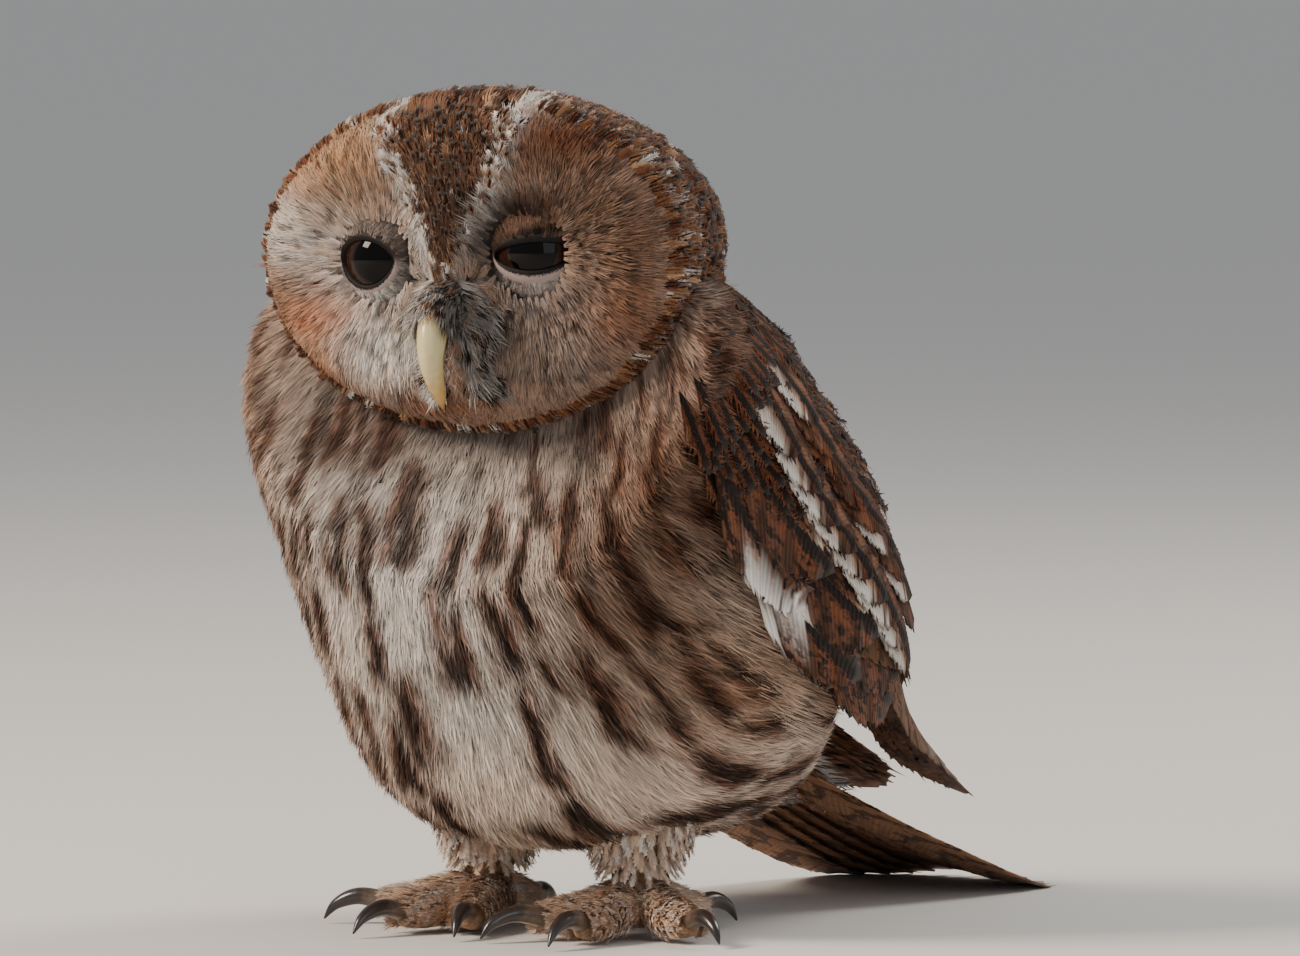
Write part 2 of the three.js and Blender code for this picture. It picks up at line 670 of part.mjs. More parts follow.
// A toe or claw along a curve, with a radius for each step.
function finger(points, radii, grow, sides) {
  const curve = new THREE.CatmullRomCurve3(points);
  const steps = radii.length - 1;
  const rings = radii.map((radius, i) => {
    const middle = curve.getPoint(i / steps);
    const run = curve.getTangent(i / steps);
    const across = new THREE.Vector3(0, 0, 1).cross(run).normalize();
    const rise = run.clone().cross(across).normalize();
    return Array.from({ length: sides }, (_, k) => {
      const angle = (2 * Math.PI * k) / sides;
      return middle
        .clone()
        .addScaledVector(across, (radius + grow) * Math.cos(angle))
        .addScaledVector(rise, (radius + grow) * Math.sin(angle));
    });
  });
  const ends = [0, 1].map((t) => curve.getTangent(t));
  const start = curve.getPoint(0).addScaledVector(ends[0], -radii[0] * 0.7 - grow);
  const last = curve.getPoint(1).addScaledVector(ends[1], radii[steps] * 0.7 + grow);
  return solid(skin(rings, start, last));
}

function toeWay(hand, degrees) {
  const angle = degrees * RADIANS;
  return new THREE.Vector3(hand * Math.sin(angle), -Math.cos(angle), 0);
}

function toe(hand, [, degrees, length], grow) {
  const way = toeWay(hand, degrees);
  const ankle = new THREE.Vector3(hand * LEG_SIDE, LEG_BACK, FOOT_HEIGHT);
  const at = (share, z) => ankle.clone().addScaledVector(way, length * share).setZ(z);
  const points = TOE_LINE.map(([share, z]) => at(share, z));
  const radii = TOE_RADII.map((share) => share * TOE_THICK);
  return finger(points, radii, grow, TOE_SIDES);
}

function claw(hand, [, degrees, length, reach]) {
  const way = toeWay(hand, degrees);
  const ankle = new THREE.Vector3(hand * LEG_SIDE, LEG_BACK, 0);
  const at = (out, z) => ankle.clone().addScaledVector(way, out).setZ(z);
  const points = CLAW_LINE.map(([share, z]) => at(length + reach * share, z));
  const radii = CLAW_RADII.map((share) => share * CLAW_THICK);
  return finger(points, radii, 0, CLAW_SIDES);
}

function foot(hand, grow) {
  const pad = new THREE.SphereGeometry(TOE_THICK * 1.9 + grow, 12, 8)
    .scale(1, 1.1, 0.9)
    .translate(hand * LEG_SIDE, LEG_BACK, FOOT_HEIGHT);
  return wasm.Manifold.union([solid(pad), ...TOES.map((one) => toe(hand, one, grow))]);
}

// A box from corner to corner.
function block(low, high) {
  const size = new THREE.Vector3(...high).sub(new THREE.Vector3(...low));
  const middle = new THREE.Vector3(...low).addScaledVector(size, 0.5);
  return solid(new THREE.BoxGeometry(...size.toArray()).translate(...middle.toArray()));
}

const FAR = 400;
const underFloor = block([-FAR, -FAR, -FAR], [FAR, FAR, 0]);

// All that is past the middle plane from one wing, with a strip on its own side.
const WING_APART = 1;
function otherSide(hand) {
  const [low, high] = [hand * WING_APART, -hand * FAR].sort((a, b) => a - b);
  return block([low, -FAR, -FAR], [high, FAR, FAR]);
}

// ---------- put together ----------

const headRoom = head(GAP);
const body = trunk(0).subtract(headRoom).subtract(faceRoom(0));
const bodyRoom = trunk(GAP);
// The neck ends at a plane that leans with the trunk.
const lean = Math.atan2(TRUNK[3][0] - TRUNK[1][0], TRUNK[1][1] - TRUNK[3][1]);
const neckHalf = (shift) =>
  solid(
    new THREE.BoxGeometry(FAR, FAR, FAR)
      .translate(0, 0, FAR / 2 + shift)
      .rotateX(lean)
      .translate(0, ...NECK_CUT),
  );

add("torso", body.subtract(neckHalf(-GAP)), PLUMAGE);
add("neck", body.intersect(neckHalf(0)), PLUMAGE);
const upperRoom = horn(BILL_UPPER, BILL_UPPER_TIP, GAP);
const lowerRoom = horn(BILL_LOWER, BILL_LOWER_TIP, GAP);
const upperBill = horn(BILL_UPPER, BILL_UPPER_TIP, 0);
add("head", buildHead().subtract(upperRoom).subtract(lowerRoom), PLUMAGE);
add("bill_upper", upperBill.subtract(nostril(1)).subtract(nostril(-1)), HORN);
add("bill_lower", horn(BILL_LOWER, BILL_LOWER_TIP, 0).subtract(upperRoom), HORN);

const overTail = tailRoom();
add("tail", tail().subtract(bodyRoom).subtract(underFloor), PLUMAGE);

for (const [hand, side] of [[1, "left"], [-1, "right"]]) {
  add(`eye_${side}`, ball(hand, EYE_BALL), EYE);
  const folded = wing(hand).subtract(bodyRoom).subtract(headRoom).subtract(overTail);
  add(`wing_${side}`, folded.subtract(otherSide(hand)), PLUMAGE);
  add(`leg_${side}`, leg(hand, 0).subtract(bodyRoom), PALE_PLUMAGE);
  add(`foot_${side}`, foot(hand, 0).subtract(leg(hand, GAP)).subtract(underFloor), PALE_PLUMAGE);
  const pawRoom = foot(hand, GAP);
  for (const one of TOES) {
    add(`claw_${side}_${one[0]}`, claw(hand, one).subtract(pawRoom).subtract(underFloor), CLAW);
  }
}

// The origin goes to the middle of the outline on the floor.
const outline = new THREE.Box3().setFromObject(owl);
const centre = outline.getCenter(new THREE.Vector3());
owl.position.set(-centre.x, -centre.y, -outline.min.z);

export default owl;
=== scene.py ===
# %% [markdown]
# # A tawny owl, feather by feather
# The owl is a still, life-size model: soft body under a deep coat, a broad face with two discs round the
# eyes, folded wings, a short tail laid on the floor. Its solids are already made, and they fix the size and
# place of everything. Here each solid gives way to what a visitor would see: one skin, and over it feathers
# with their own shafts, barbs and markings.
#
# Everything is worked out in millimetres in the owl's own frame: X to its left, -Y the way the breast
# faces, Z up from the floor. One function turns millimetres into Blender's metres.

# %% Tools and the fixed frame
from functools import partial

import bpy
import numpy as np
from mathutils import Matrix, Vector, kdtree


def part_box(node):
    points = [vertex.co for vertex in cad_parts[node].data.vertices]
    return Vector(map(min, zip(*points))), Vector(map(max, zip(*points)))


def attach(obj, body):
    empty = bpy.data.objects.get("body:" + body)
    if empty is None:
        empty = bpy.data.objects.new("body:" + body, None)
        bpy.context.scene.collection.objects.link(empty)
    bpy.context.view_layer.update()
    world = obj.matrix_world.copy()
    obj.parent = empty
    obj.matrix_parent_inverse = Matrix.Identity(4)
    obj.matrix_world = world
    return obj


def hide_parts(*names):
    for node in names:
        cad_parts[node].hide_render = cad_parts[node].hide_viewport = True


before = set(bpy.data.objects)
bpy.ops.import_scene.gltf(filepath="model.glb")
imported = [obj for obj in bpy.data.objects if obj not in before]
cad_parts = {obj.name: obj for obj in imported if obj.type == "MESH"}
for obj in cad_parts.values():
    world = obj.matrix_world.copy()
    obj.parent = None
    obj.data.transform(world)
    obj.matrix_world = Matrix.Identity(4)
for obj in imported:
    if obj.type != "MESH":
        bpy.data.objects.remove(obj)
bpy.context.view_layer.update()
draw = np.random.default_rng(31)
SIDES = ((1, "left"), (-1, "right"))
TURN = 2 * np.pi
DEGREES = TURN / 360

# %% [markdown]
# ## Colours
# Feather colours come from two pigments, one black-brown and one rust, and from none at all, which gives
# white. A painter would mix them by eye. Here each is a hex value as a screen shows it, turned once into
# the linear numbers that light is reckoned in, so that a mix of two of them is a true mix.

# %% Named colours
def linear(code):
    """Screen value s to linear light: s / 12.92 below 0.04045, else ((s + 0.055) / 1.055) to the power
    2.4."""
    s = np.array([int(code[i:i + 2], 16) / 255 for i in (1, 3, 5)])
    return np.where(s < 0.04045, s / 12.92, ((s + 0.055) / 1.055) ** 2.4)


def opaque(colour):
    """A hex value or linear colour with full opacity, as a node's socket takes it."""
    return (*(linear(colour) if isinstance(colour, str) else colour), 1)


WHITE, GREY, BUFF, TAN = (linear(code) for code in ("#e9e4dd", "#a9a29b", "#cfa27a", "#a97b58"))
RUFOUS, RUST, UMBER, SOOT = (linear(code) for code in ("#8d5a3e", "#7d4527", "#46291b", "#1c120d"))
print("colours from white", WHITE.round(2), "to soot", SOOT.round(3))

# %% [markdown]
# ## Curves through rows of sizes
# A taxidermist's manikin is carved to a few measured sections. The same few rows of numbers are read here
# along a Catmull-Rom spline, a smooth curve that passes through every row, which keeps the body full
# between sections without a long list of points.

# %% Reading rows
def rows_at(rows, t):
    """Rows of numbers read at t from 0 to 1: a cubic through the two rows around t, whose slope at each row
    is half the difference of its neighbours. Beyond either end it goes on in a straight line."""
    rows = np.asarray(rows, float)
    last = len(rows) - 1
    whole = np.asarray(t, float) * last
    place = np.clip(whole, 0, last)
    i = np.minimum(place.astype(int), last - 1)
    f, past, before = place - i, np.maximum(whole - last, 0), np.minimum(whole, 0)
    if rows.ndim > 1:
        f, past, before = f[..., None], past[..., None], before[..., None]
    p, q, r, s = (rows[np.clip(i + k, 0, last)] for k in (-1, 0, 1, 2))
    inside = q + 0.5 * f * (r - p + f * (2 * p - 5 * q + 4 * r - s + f * (3 * (q - r) + s - p)))
    return inside + 0.5 * (past * (rows[-1] - rows[-2]) + before * (rows[1] - rows[0]))


def ease(x, low, high):
    """0 below low, 1 above high, and 3f^2 - 2f^3 between, f being how far x has gone."""
    f = np.clip((x - low) / (high - low), 0, 1)
    return f * f * (3 - 2 * f)


def fuller(x):
    """Sign of x times its size to the power 0.85: makes an ellipse a little squarer."""
    return np.sign(x) * np.abs(x) ** 0.85


STEP = 0.01


def heading_of(rows, t):
    """The unit vector along a curve of points at t, from its places a step before and after."""
    run = rows_at(rows, t + STEP) - rows_at(rows, t - STEP)
    return run / np.linalg.norm(run, axis=-1, keepdims=True)


def section(rows, t):
    """The row at t, and the upward normal of the line that its first two numbers, y and z, follow."""
    run = heading_of(np.asarray(rows)[:, :2], t)
    return rows_at(rows, t), -run[..., 1], run[..., 0]


# %% [markdown]
# ## The body's surfaces
# Each part of the body is a surface with two numbers for a place on it and a third for the height over it:
# how far along the part, and the angle round it. Feathers grow, lie and overlap in these numbers, so they
# follow the body however it curves. Angles are 0 at the owl's left, 90 degrees at the back.

# %% Trunk, wings and tail
TRUNK = [(-39, 194, 34, 36, 10), (-37, 174, 66, 59, 30), (-32, 152, 72, 66, 47), (-19, 129, 68, 68, 57),
         (0, 104, 68.5, 69, 64), (22, 82, 68.5, 68, 70), (46, 64, 60, 56, 47), (68, 52, 40, 33, 28),
         (84, 45, 17, 13, 13)]  # y, z, half width, radius to the back, radius to the belly
BED = [(-33, 157, 71.5, 65), (-20, 131, 69, 68), (0, 104, 69, 69), (23, 82, 69, 68.5), (50, 65, 63, 59),
       (80, 51, 50, 43), (112, 38, 37, 26), (144, 26, 29, 17), (176, 16, 22, 11)]  # what a wing lies on
WING_LOW = [2, -8, 2, 16, 30]
WING_HIGH = [42, 66, 78, 82, 82]
WING_BACK = [6, 10, 11, 7, 3]
TAIL = [(60, 60), (84, 46), (112, 32.5), (144, 20.5), (178, 9.5), (208, 3.2)]


def ring(rows, t, angle, height, hand=1):
    """Across is half width times cos, rise is radius times sin along the section's normal, both fuller."""
    row, back, up = section(rows, t)
    radius = np.where(np.sin(angle) > 0, row[..., 3], row[..., -1])
    rise = (radius + height) * fuller(np.sin(angle))
    across = hand * (row[..., 2] + height) * fuller(np.cos(angle))
    return np.stack([across, row[..., 0] + back * rise, row[..., 1] + up * rise], -1)


trunk_at = partial(ring, TRUNK)


def wing_back(t):
    """Height of the folded wing over its bed, starting low at the shoulder."""
    return rows_at(WING_BACK, t) * (0.15 + 0.85 * ease(t, -0.04, 0.13))


def tail_at(t, across, height):
    _, back, up = section(TAIL, t)
    middle = rows_at(TAIL, t)
    return np.stack([across + 0 * height, middle[..., 0] + back * height, middle[..., 1] + up * height], -1)


print("breast at", trunk_at(0.4, -TURN / 4, 0).round(0))

# %% [markdown]
# The head is a second such surface, turned a little to the owl's left. Its face is nearly flat, with a
# shallow dish round each eye and a ridge between them, so places on the face are simply how far to the
# side and how far up. The face's own height comes from a table made once, since the rows don't give it.

# %% Head and face
HEAD = [(24, 20, 16, 17), (22, 38, 29, 31), (17, 53, 39, 41), (6, 61, 43.5, 47), (-14, 63, 42, 50),
        (-36, 55, 32, 46), (-54, 35, 18, 30), (-63, 2, 2, 2)]  # forward, half width, up, down
HEAD_MIDDLE = np.array([0, -35, 187])
HEAD_TURNS = [("z", 13), ("x", 5), ("y", -3)]
EYE_SIDE, EYE_UP, EYE_FORWARD, EYE_BALL, EYE_OUT = 22, 1, 13.5, 11.5, 17 * DEGREES


def turned(axis, degrees):
    """The turn by an angle round one axis, as three rows of cosines and sines."""
    c, s = np.cos(degrees * DEGREES), np.sin(degrees * DEGREES)
    return np.array({"x": [[1, 0, 0], [0, c, -s], [0, s, c]], "y": [[c, 0, s], [0, 1, 0], [-s, 0, c]],
                     "z": [[c, -s, 0], [s, c, 0], [0, 0, 1]]}[axis])


HEAD_TURN = np.linalg.multi_dot([turned(*turn) for turn in HEAD_TURNS])


def head_point(side, forward, up):
    """A point from how far it is to the owl's left of the head's middle, in front of it and above it."""
    return np.stack(np.broadcast_arrays(side, -forward, up), -1) @ HEAD_TURN.T + HEAD_MIDDLE


def in_head(points):
    """The way back: side, forward and up of points."""
    return np.moveaxis((points - HEAD_MIDDLE) @ HEAD_TURN * (1, -1, 1), -1, 0)


def relief(side, up):
    """Two dishes, each a bell of 6 mm depth and 22 mm width round an eye, and a 9 mm ridge between."""
    dish = sum(6 * np.exp(-(np.hypot(side - hand * EYE_SIDE, up - EYE_UP) / 22) ** 2) for hand in (-1, 1))
    return 9 * np.exp(-(side / 8) ** 2 - ((up + 4) / 26) ** 2) - dish


def head_place(t, angle, height):
    """Side, forward and up on the head: an ellipse at each t, pushed forward in front and back at the
    nape."""
    forward, wide, up, down = np.moveaxis(rows_at(HEAD, np.asarray(t)), -1, 0)
    side = (wide + height) * np.cos(angle)
    high = (np.where(np.sin(angle) > 0, up, down) + height) * np.sin(angle)
    push = ease(forward, 0, 18) * (height + relief(side, high)) - ease(-forward, 36, 60) * height
    return side, forward + push, high


def head_at(t, angle, height):
    return head_point(*head_place(t, angle, height))


TABLE_LEFT, TABLE_LOW, TABLE_WIDE, TABLE_HIGH = 70, 60, 140, 115
face_side, face_up = np.meshgrid(np.arange(TABLE_WIDE + 1.0) - TABLE_LEFT,
                                 np.arange(TABLE_HIGH + 1.0) - TABLE_LOW, indexing="ij")
reach = rows_at(HEAD, np.linspace(0, 0.5, 60))
high = np.where(face_up[..., None] > 0, reach[:, 2], reach[:, 3])
outside = (face_side[..., None] / reach[:, 1]) ** 2 + (face_up[..., None] / high) ** 2 - 1
first = np.maximum(np.argmax(outside < 0, axis=-1), 1)
first = np.where(outside[..., -1] > 0, len(reach) - 1, first)
early, late = (np.take_along_axis(outside, first[..., None] - k, -1)[..., 0] for k in (1, 0))
share = np.clip(early / (early - late + 1e-9), 0, 1)
face_table = reach[first - 1, 0] + share * (reach[first, 0] - reach[first - 1, 0])


def face_at(side, up, height):
    """Forward is read from the table between its four nearest entries, plus relief and height."""
    x = np.clip(side + TABLE_LEFT, 0, TABLE_WIDE - 0.01)
    z = np.clip(up + TABLE_LOW, 0, TABLE_HIGH - 0.01)
    i, j = x.astype(int), z.astype(int)
    fx, fz = x - i, z - j
    low = face_table[i, j] * (1 - fx) + face_table[i + 1, j] * fx
    top = face_table[i, j + 1] * (1 - fx) + face_table[i + 1, j + 1] * fx
    return head_point(side, low * (1 - fz) + top * fz + relief(side, up) + height, up)


EYE_MIDDLE = {hand: head_point(hand * EYE_SIDE, EYE_FORWARD, EYE_UP) for hand, _ in SIDES}
print("left eye at", EYE_MIDDLE[1].round(1))

# %% [markdown]
# The solids stand with the middle of their outline over the origin. The left eye tells how far that moved
# them: the ball's middle is known in the owl's own frame and can be measured in theirs.

# %% From millimetres to the frame's metres
ball_low, ball_high = (np.array(corner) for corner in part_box("eye_left"))
SHIFT = 500 * (ball_low + ball_high) - EYE_MIDDLE[1]


def metres(points):
    return (np.asarray(points) + SHIFT) / 1000


print("shift in mm:", SHIFT.round(3))

# %% [markdown]
# ## Materials and meshes
# A material is a small tree of nodes: some read what a mesh stores at its points, others mix it into a
# colour. Each piece is one mesh made from whole arrays, since a loop over a million corners would take
# minutes. What a material needs, such as the place on a feather, is stored on the points as attributes.

# %% Adding nodes
def node(tree, kind, inputs=(), out=0, **settings):
    """Adds a shader node and gives one of its outputs, or all of them if out is None. Inputs are its sockets,
    in order or by key, each a value or another node's output. Settings are its own properties."""
    made = tree.nodes.new("ShaderNode" + kind)
    for name, value in settings.items():
        setattr(made, name, value)
    for socket, value in inputs.items() if isinstance(inputs, dict) else enumerate(inputs):
        if isinstance(value, bpy.types.NodeSocket):
            tree.links.new(value, made.inputs[socket])
        else:
            made.inputs[socket].default_value = value
    return made.outputs if out is None else made.outputs[out]


SMOOTH = {"interpolation_type": "SMOOTHSTEP"}
COLOURS = {"data_type": "RGBA", "out": 2}


def new_material(name):
    """An empty material, and the function that adds nodes to it."""
    made = bpy.data.materials.new(name)
    made.use_nodes = True
    made.node_tree.nodes.clear()
    return made, partial(node, made.node_tree)


def finish_material(add, look):
    """Joins one Principled shader with the given look to the material's output."""
    add("OutputMaterial", {"Surface": add("BsdfPrincipled", look)}, out=None)


# %% Meshes from arrays
def mesh_from(name, points, faces, material):
    """An object at the origin whose place is in its mesh; faces is an array of corners, 3 or 4 a face."""
    mesh = bpy.data.meshes.new(name)
    count, corners = faces.shape
    mesh.vertices.add(len(points))
    mesh.vertices.foreach_set("co", metres(points).astype(np.float32).ravel())
    mesh.loops.add(count * corners)
    mesh.loops.foreach_set("vertex_index", faces.astype(np.int32).ravel())
    mesh.polygons.add(count)
    mesh.polygons.foreach_set("loop_start", np.arange(0, count * corners, corners, dtype=np.int32))
    mesh.update(calc_edges=True)
    mesh.polygons.foreach_set("use_smooth", np.ones(count, bool))
    mesh.materials.append(material)
    piece = bpy.data.objects.new(name, mesh)
    bpy.context.scene.collection.objects.link(piece)
    return piece


def give(piece, name, kind, values):
    """Stores one value a point on a piece, for its material to read."""
    stored = piece.data.attributes.new(name, kind, "POINT")
    field = "color" if kind == "FLOAT_COLOR" else "vector"
    stored.data.foreach_set(field, values.astype(np.float32).ravel())


def hand_over(piece, slot, *replaced):
    """Puts a piece on the owl's one body, in place of the named solids. Its slot is not used."""
    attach(piece, "root")
    if replaced:
        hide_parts(*replaced)
    print(piece.name, "has", len(piece.data.polygons), "faces")


def around(places, sides):
    """A grid of places along a part and angles round it, one row a ring."""
    return np.meshgrid(places, np.linspace(0, TURN, sides, endpoint=False), indexing="ij")


def tube_faces(rows, sides, capped=True):
    """Triangles between rings of points and, if capped, to one more point at the middle of each end."""
    r, k = np.meshgrid(np.arange(rows - 1), np.arange(sides), indexing="ij")
    a, b = (r * sides + k).ravel(), (r * sides + (k + 1) % sides).ravel()
    walls = [np.stack([a, b, b + sides], -1), np.stack([a, b + sides, a + sides], -1)]
    k, last = np.arange(sides), (rows - 1) * sides
    caps = [np.stack([0 * k + rows * sides, (k + 1) % sides, k], -1),
            np.stack([0 * k + rows * sides + 1, k + last, (k + 1) % sides + last], -1)]
    return np.concatenate(walls + caps if capped else walls)


def outward(points, faces):
    """Turned over if the volume that the triangles enclose comes out negative."""
    a, b, c = (points[faces[:, k]] - points.mean(0) for k in range(3))
    return faces if (np.cross(a, b) * c).sum() > 0 else faces[:, ::-1]


# %% [markdown]
# ## Floor, light and camera
# A museum shows such a model on a plain base under large, soft lamps. One wide lamp stands to the left of
# the camera, where it shapes the face, a weaker one fills from the right, and one behind lifts the outline.
# The camera is a long lens three metres off, a little above the floor and to the owl's left.

# %% Floor, lamps and camera
FLOOR_HALF = 40000
stone, add = new_material("Pale matt floor")
finish_material(add, {"Base Color": opaque("#e3e1dd"), "Roughness": 0.9})
corners = FLOOR_HALF * np.array([[-1, -1, 0], [1, -1, 0], [1, 1, 0], [-1, 1, 0]])
floor = mesh_from("Floor", corners, np.array([[0, 1, 2, 3]]), stone)

SKY_STRENGTH = 0.52
sky = bpy.data.worlds.new("Soft studio")
sky.use_nodes = True
sky.node_tree.nodes["Background"].inputs["Color"].default_value = opaque("#dcdfe4")
sky.node_tree.nodes["Background"].inputs["Strength"].default_value = SKY_STRENGTH
bpy.context.scene.world = sky

AIM = np.array([39, -11.6, 126])
AZIMUTH, ELEVATION = 35 * DEGREES, 3 * DEGREES
TOWARDS_CAMERA = np.array([np.sin(AZIMUTH) * np.cos(ELEVATION), -np.cos(AZIMUTH) * np.cos(ELEVATION),
                           np.sin(ELEVATION)])
CAMERA_AWAY = 3000
FRAME_WIDE = 351.4
SENSOR_WIDE = 36


def aimed(thing, name, place):
    """Links a lamp or camera, standing at a place and looking at the aim point."""
    made = bpy.data.objects.new(name, thing)
    made.location = metres(place)
    made.rotation_euler = Vector(AIM - place).to_track_quat("-Z", "Y").to_euler()
    bpy.context.scene.collection.objects.link(made)
    return made


lens = bpy.data.cameras.new("Camera")
lens.sensor_width = SENSOR_WIDE
lens.lens = SENSOR_WIDE * CAMERA_AWAY / FRAME_WIDE
bpy.context.scene.camera = aimed(lens, "Camera", AIM + CAMERA_AWAY * TOWARDS_CAMERA)

LAMPS = {"Key lamp": ((-1000, -1450, 1300), 700, 56, "#ffeedb"),  # place, width, watts, colour
         "Fill lamp": ((1900, -700, 500), 1200, 7, "#e6ebf2"),
         "Rim lamp": ((500, 1500, 1300), 900, 22, "#fff6ea")}
for name, (place, wide, watts, colour) in LAMPS.items():
    lamp = bpy.data.lights.new(name, "AREA")
    lamp.size = wide / 1000
    lamp.energy = watts
    lamp.color = linear(colour)
    aimed(lamp, name, AIM + np.array(place))
print("lens", round(lens.lens, 1), "mm")

# %% [markdown]
# ## One feather
# A feather is a shaft with barbs on both sides. Near the shaft the barbs hook together into a web, and
# towards the rim of an owl's feather they part into soft hairs. A flat leaf with a picture of a feather
# would look hard at its edge, so each vane here has its barbs cut in the mesh: a web, then a point for each.

# %% Vane and spray
def outline(along):
    """Half width of a vane as a share: quickly up from the root, full past the middle, rounded at the tip."""
    round_tip = np.clip(1 - ((along - 0.4) / 0.6).clip(0) ** 2.6, 0, 1)
    return np.sqrt(np.clip(along / 0.3, 0, 1)) * np.sqrt(round_tip)


def barbed_vane(barbs, web, sweep):
    """Barbs leave the shaft at s and end on the outline at s + sweep (1 - s); the web reaches a share of the
    way. Gives shares along and across, the barb's number, how loose each point is, and triangles."""
    s = np.linspace(0, 0.94, barbs + 1) ** 0.8
    ends = s + sweep * (1 - s)
    middles = (s[1:] + s[:-1]) / 2
    tips = middles + sweep * (1 - middles)
    along, across, number, loose, faces = [s], [0 * s], [np.arange(barbs + 1.0)], [0 * s], []
    for hand, first in ((1, 1 + barbs), (-1, 2 + 3 * barbs)):
        along += [s + web * (ends - s), tips]
        across += [hand * web * outline(ends), hand * outline(tips)]
        number += [np.arange(barbs + 1.0), np.arange(barbs) + 0.5]
        loose += [np.full(barbs + 1, 0.2), np.ones(barbs)]
        shaft = np.arange(barbs)
        edge, tip = first + shaft, first + barbs + 1 + shaft
        sheets = [(shaft, edge, edge + 1), (shaft, edge + 1, shaft + 1), (edge, tip, edge + 1)]
        faces += [np.stack(sheet[::hand], -1) for sheet in sheets]
    right, left, last = 2 * barbs + 1, 4 * barbs + 2, 5 * barbs + 3
    faces.append(np.array([[barbs, right, last], [barbs, last, left]]))
    return {"along": np.r_[np.concatenate(along), 1.0], "across": np.r_[np.concatenate(across), 0.0],
            "barb": np.r_[np.concatenate(number), barbs], "loose": np.r_[np.concatenate(loose), 0.6],
            "below": np.zeros(last + 1), "faces": np.concatenate(faces)}


def spray(strands, thin):
    """Hairs from one root that part like a fan: each is a tapered strip of a quad and a point."""
    lean = np.linspace(-1, 1, strands)
    far = 1 - 0.22 * lean ** 2 - 0.12 * (np.arange(strands) % 2)
    along = far[:, None] * [0, 0, 0.55, 0.55, 1]
    across = lean[:, None] * [0.35, 0.35, 0.75, 0.75, 1] + thin * np.array([-1, 1, -1, 1, 0])
    base = 5 * np.arange(strands)[:, None]
    return {"along": along.ravel(), "across": across.ravel(),
            "barb": np.repeat(np.arange(strands), 5).astype(float),
            "loose": np.tile([0, 0, 0.4, 0.4, 1.0], strands), "below": np.zeros(5 * strands),
            "faces": np.concatenate([base + corner for corner in ([0, 1, 3], [0, 3, 2], [2, 3, 4])])}


def closed(shape):
    """A vane with an underside: a second copy a vane's thickness below, and a wall along each edge that only
    one triangle of the sheet uses."""
    faces, count = shape["faces"], len(shape["along"])
    edges = np.concatenate([faces[:, [0, 1]], faces[:, [1, 2]], faces[:, [2, 0]]])
    _, index, times = np.unique(np.sort(edges, axis=1) @ [count, 1], return_index=True, return_counts=True)
    a, b = edges[index[times == 1]].T
    walls = [np.stack([b, a, a + count], -1), np.stack([b, a + count, b + count], -1)]
    double = {key: np.tile(shape[key], 2) for key in ("along", "across", "barb", "loose")}
    return {**double, "below": np.repeat([0.0, 1.0], count),
            "faces": np.concatenate([faces, faces[:, ::-1] + count, *walls])}


CONTOUR = barbed_vane(11, 0.42, 0.58)
BREAST = barbed_vane(24, 0.34, 0.62)
COVERT = closed(barbed_vane(20, 0.86, 0.42))
FLIGHT = closed(barbed_vane(48, 0.95, 0.16))
HAIR = spray(7, 0.085)
STRANDS = 11
FLUFF = spray(STRANDS, 0.05)
shapes = (CONTOUR, BREAST, COVERT, FLIGHT, HAIR, FLUFF)
print("triangles in one feather:", [len(shape["faces"]) for shape in shapes])

# %% [markdown]
# ## Planting feathers
# On the bird, feathers grow in rows along tracts, each row's tips over the next row's roots. So roots are
# set out in staggered rows here too, a little unevenly. Each vane is laid out in the surface's own two
# numbers, and its height climbs from root to tip, which makes the rows overlap like tiles without a
# collision to solve.

# %% Roots
FINE = 240


def length_of(path):
    return np.r_[0, np.cumsum(np.linalg.norm(np.diff(path, axis=0), axis=1))]


def rooted(surface, u_span, v_span, row_pitch, pitch, uneven=0.22):
    """Staggered rows: row_pitch mm apart along u down the middle, roots pitch mm apart along v in each."""
    fine = np.linspace(0, 1, FINE)
    us, vs = (low + fine * (top - low) for low, top in (u_span, v_span))
    run = length_of(surface(us, np.full(FINE, np.mean(v_span)), np.zeros(FINE)))
    rows = np.interp((np.arange(int(run[-1] / row_pitch)) + 0.5) * row_pitch, run, us)
    step = abs(rows[1] - rows[0])
    found_u, found_v = [], []
    for k, row in enumerate(rows):
        run = length_of(surface(np.full(FINE, row), vs, np.zeros(FINE)))
        count = int(run[-1] / pitch)
        if count:
            place = np.arange(count) + 0.25 + 0.5 * (k % 2) + uneven * draw.normal(size=count)
            place = place * run[-1] / count
            found_v.append(np.interp(place, run, vs))
            found_u.append(row + uneven * step * draw.normal(size=count))
    return np.concatenate(found_u), np.concatenate(found_v)


# %% Vanes on a surface
SMALL = 0.004
FLOOR_GAP = 0.3


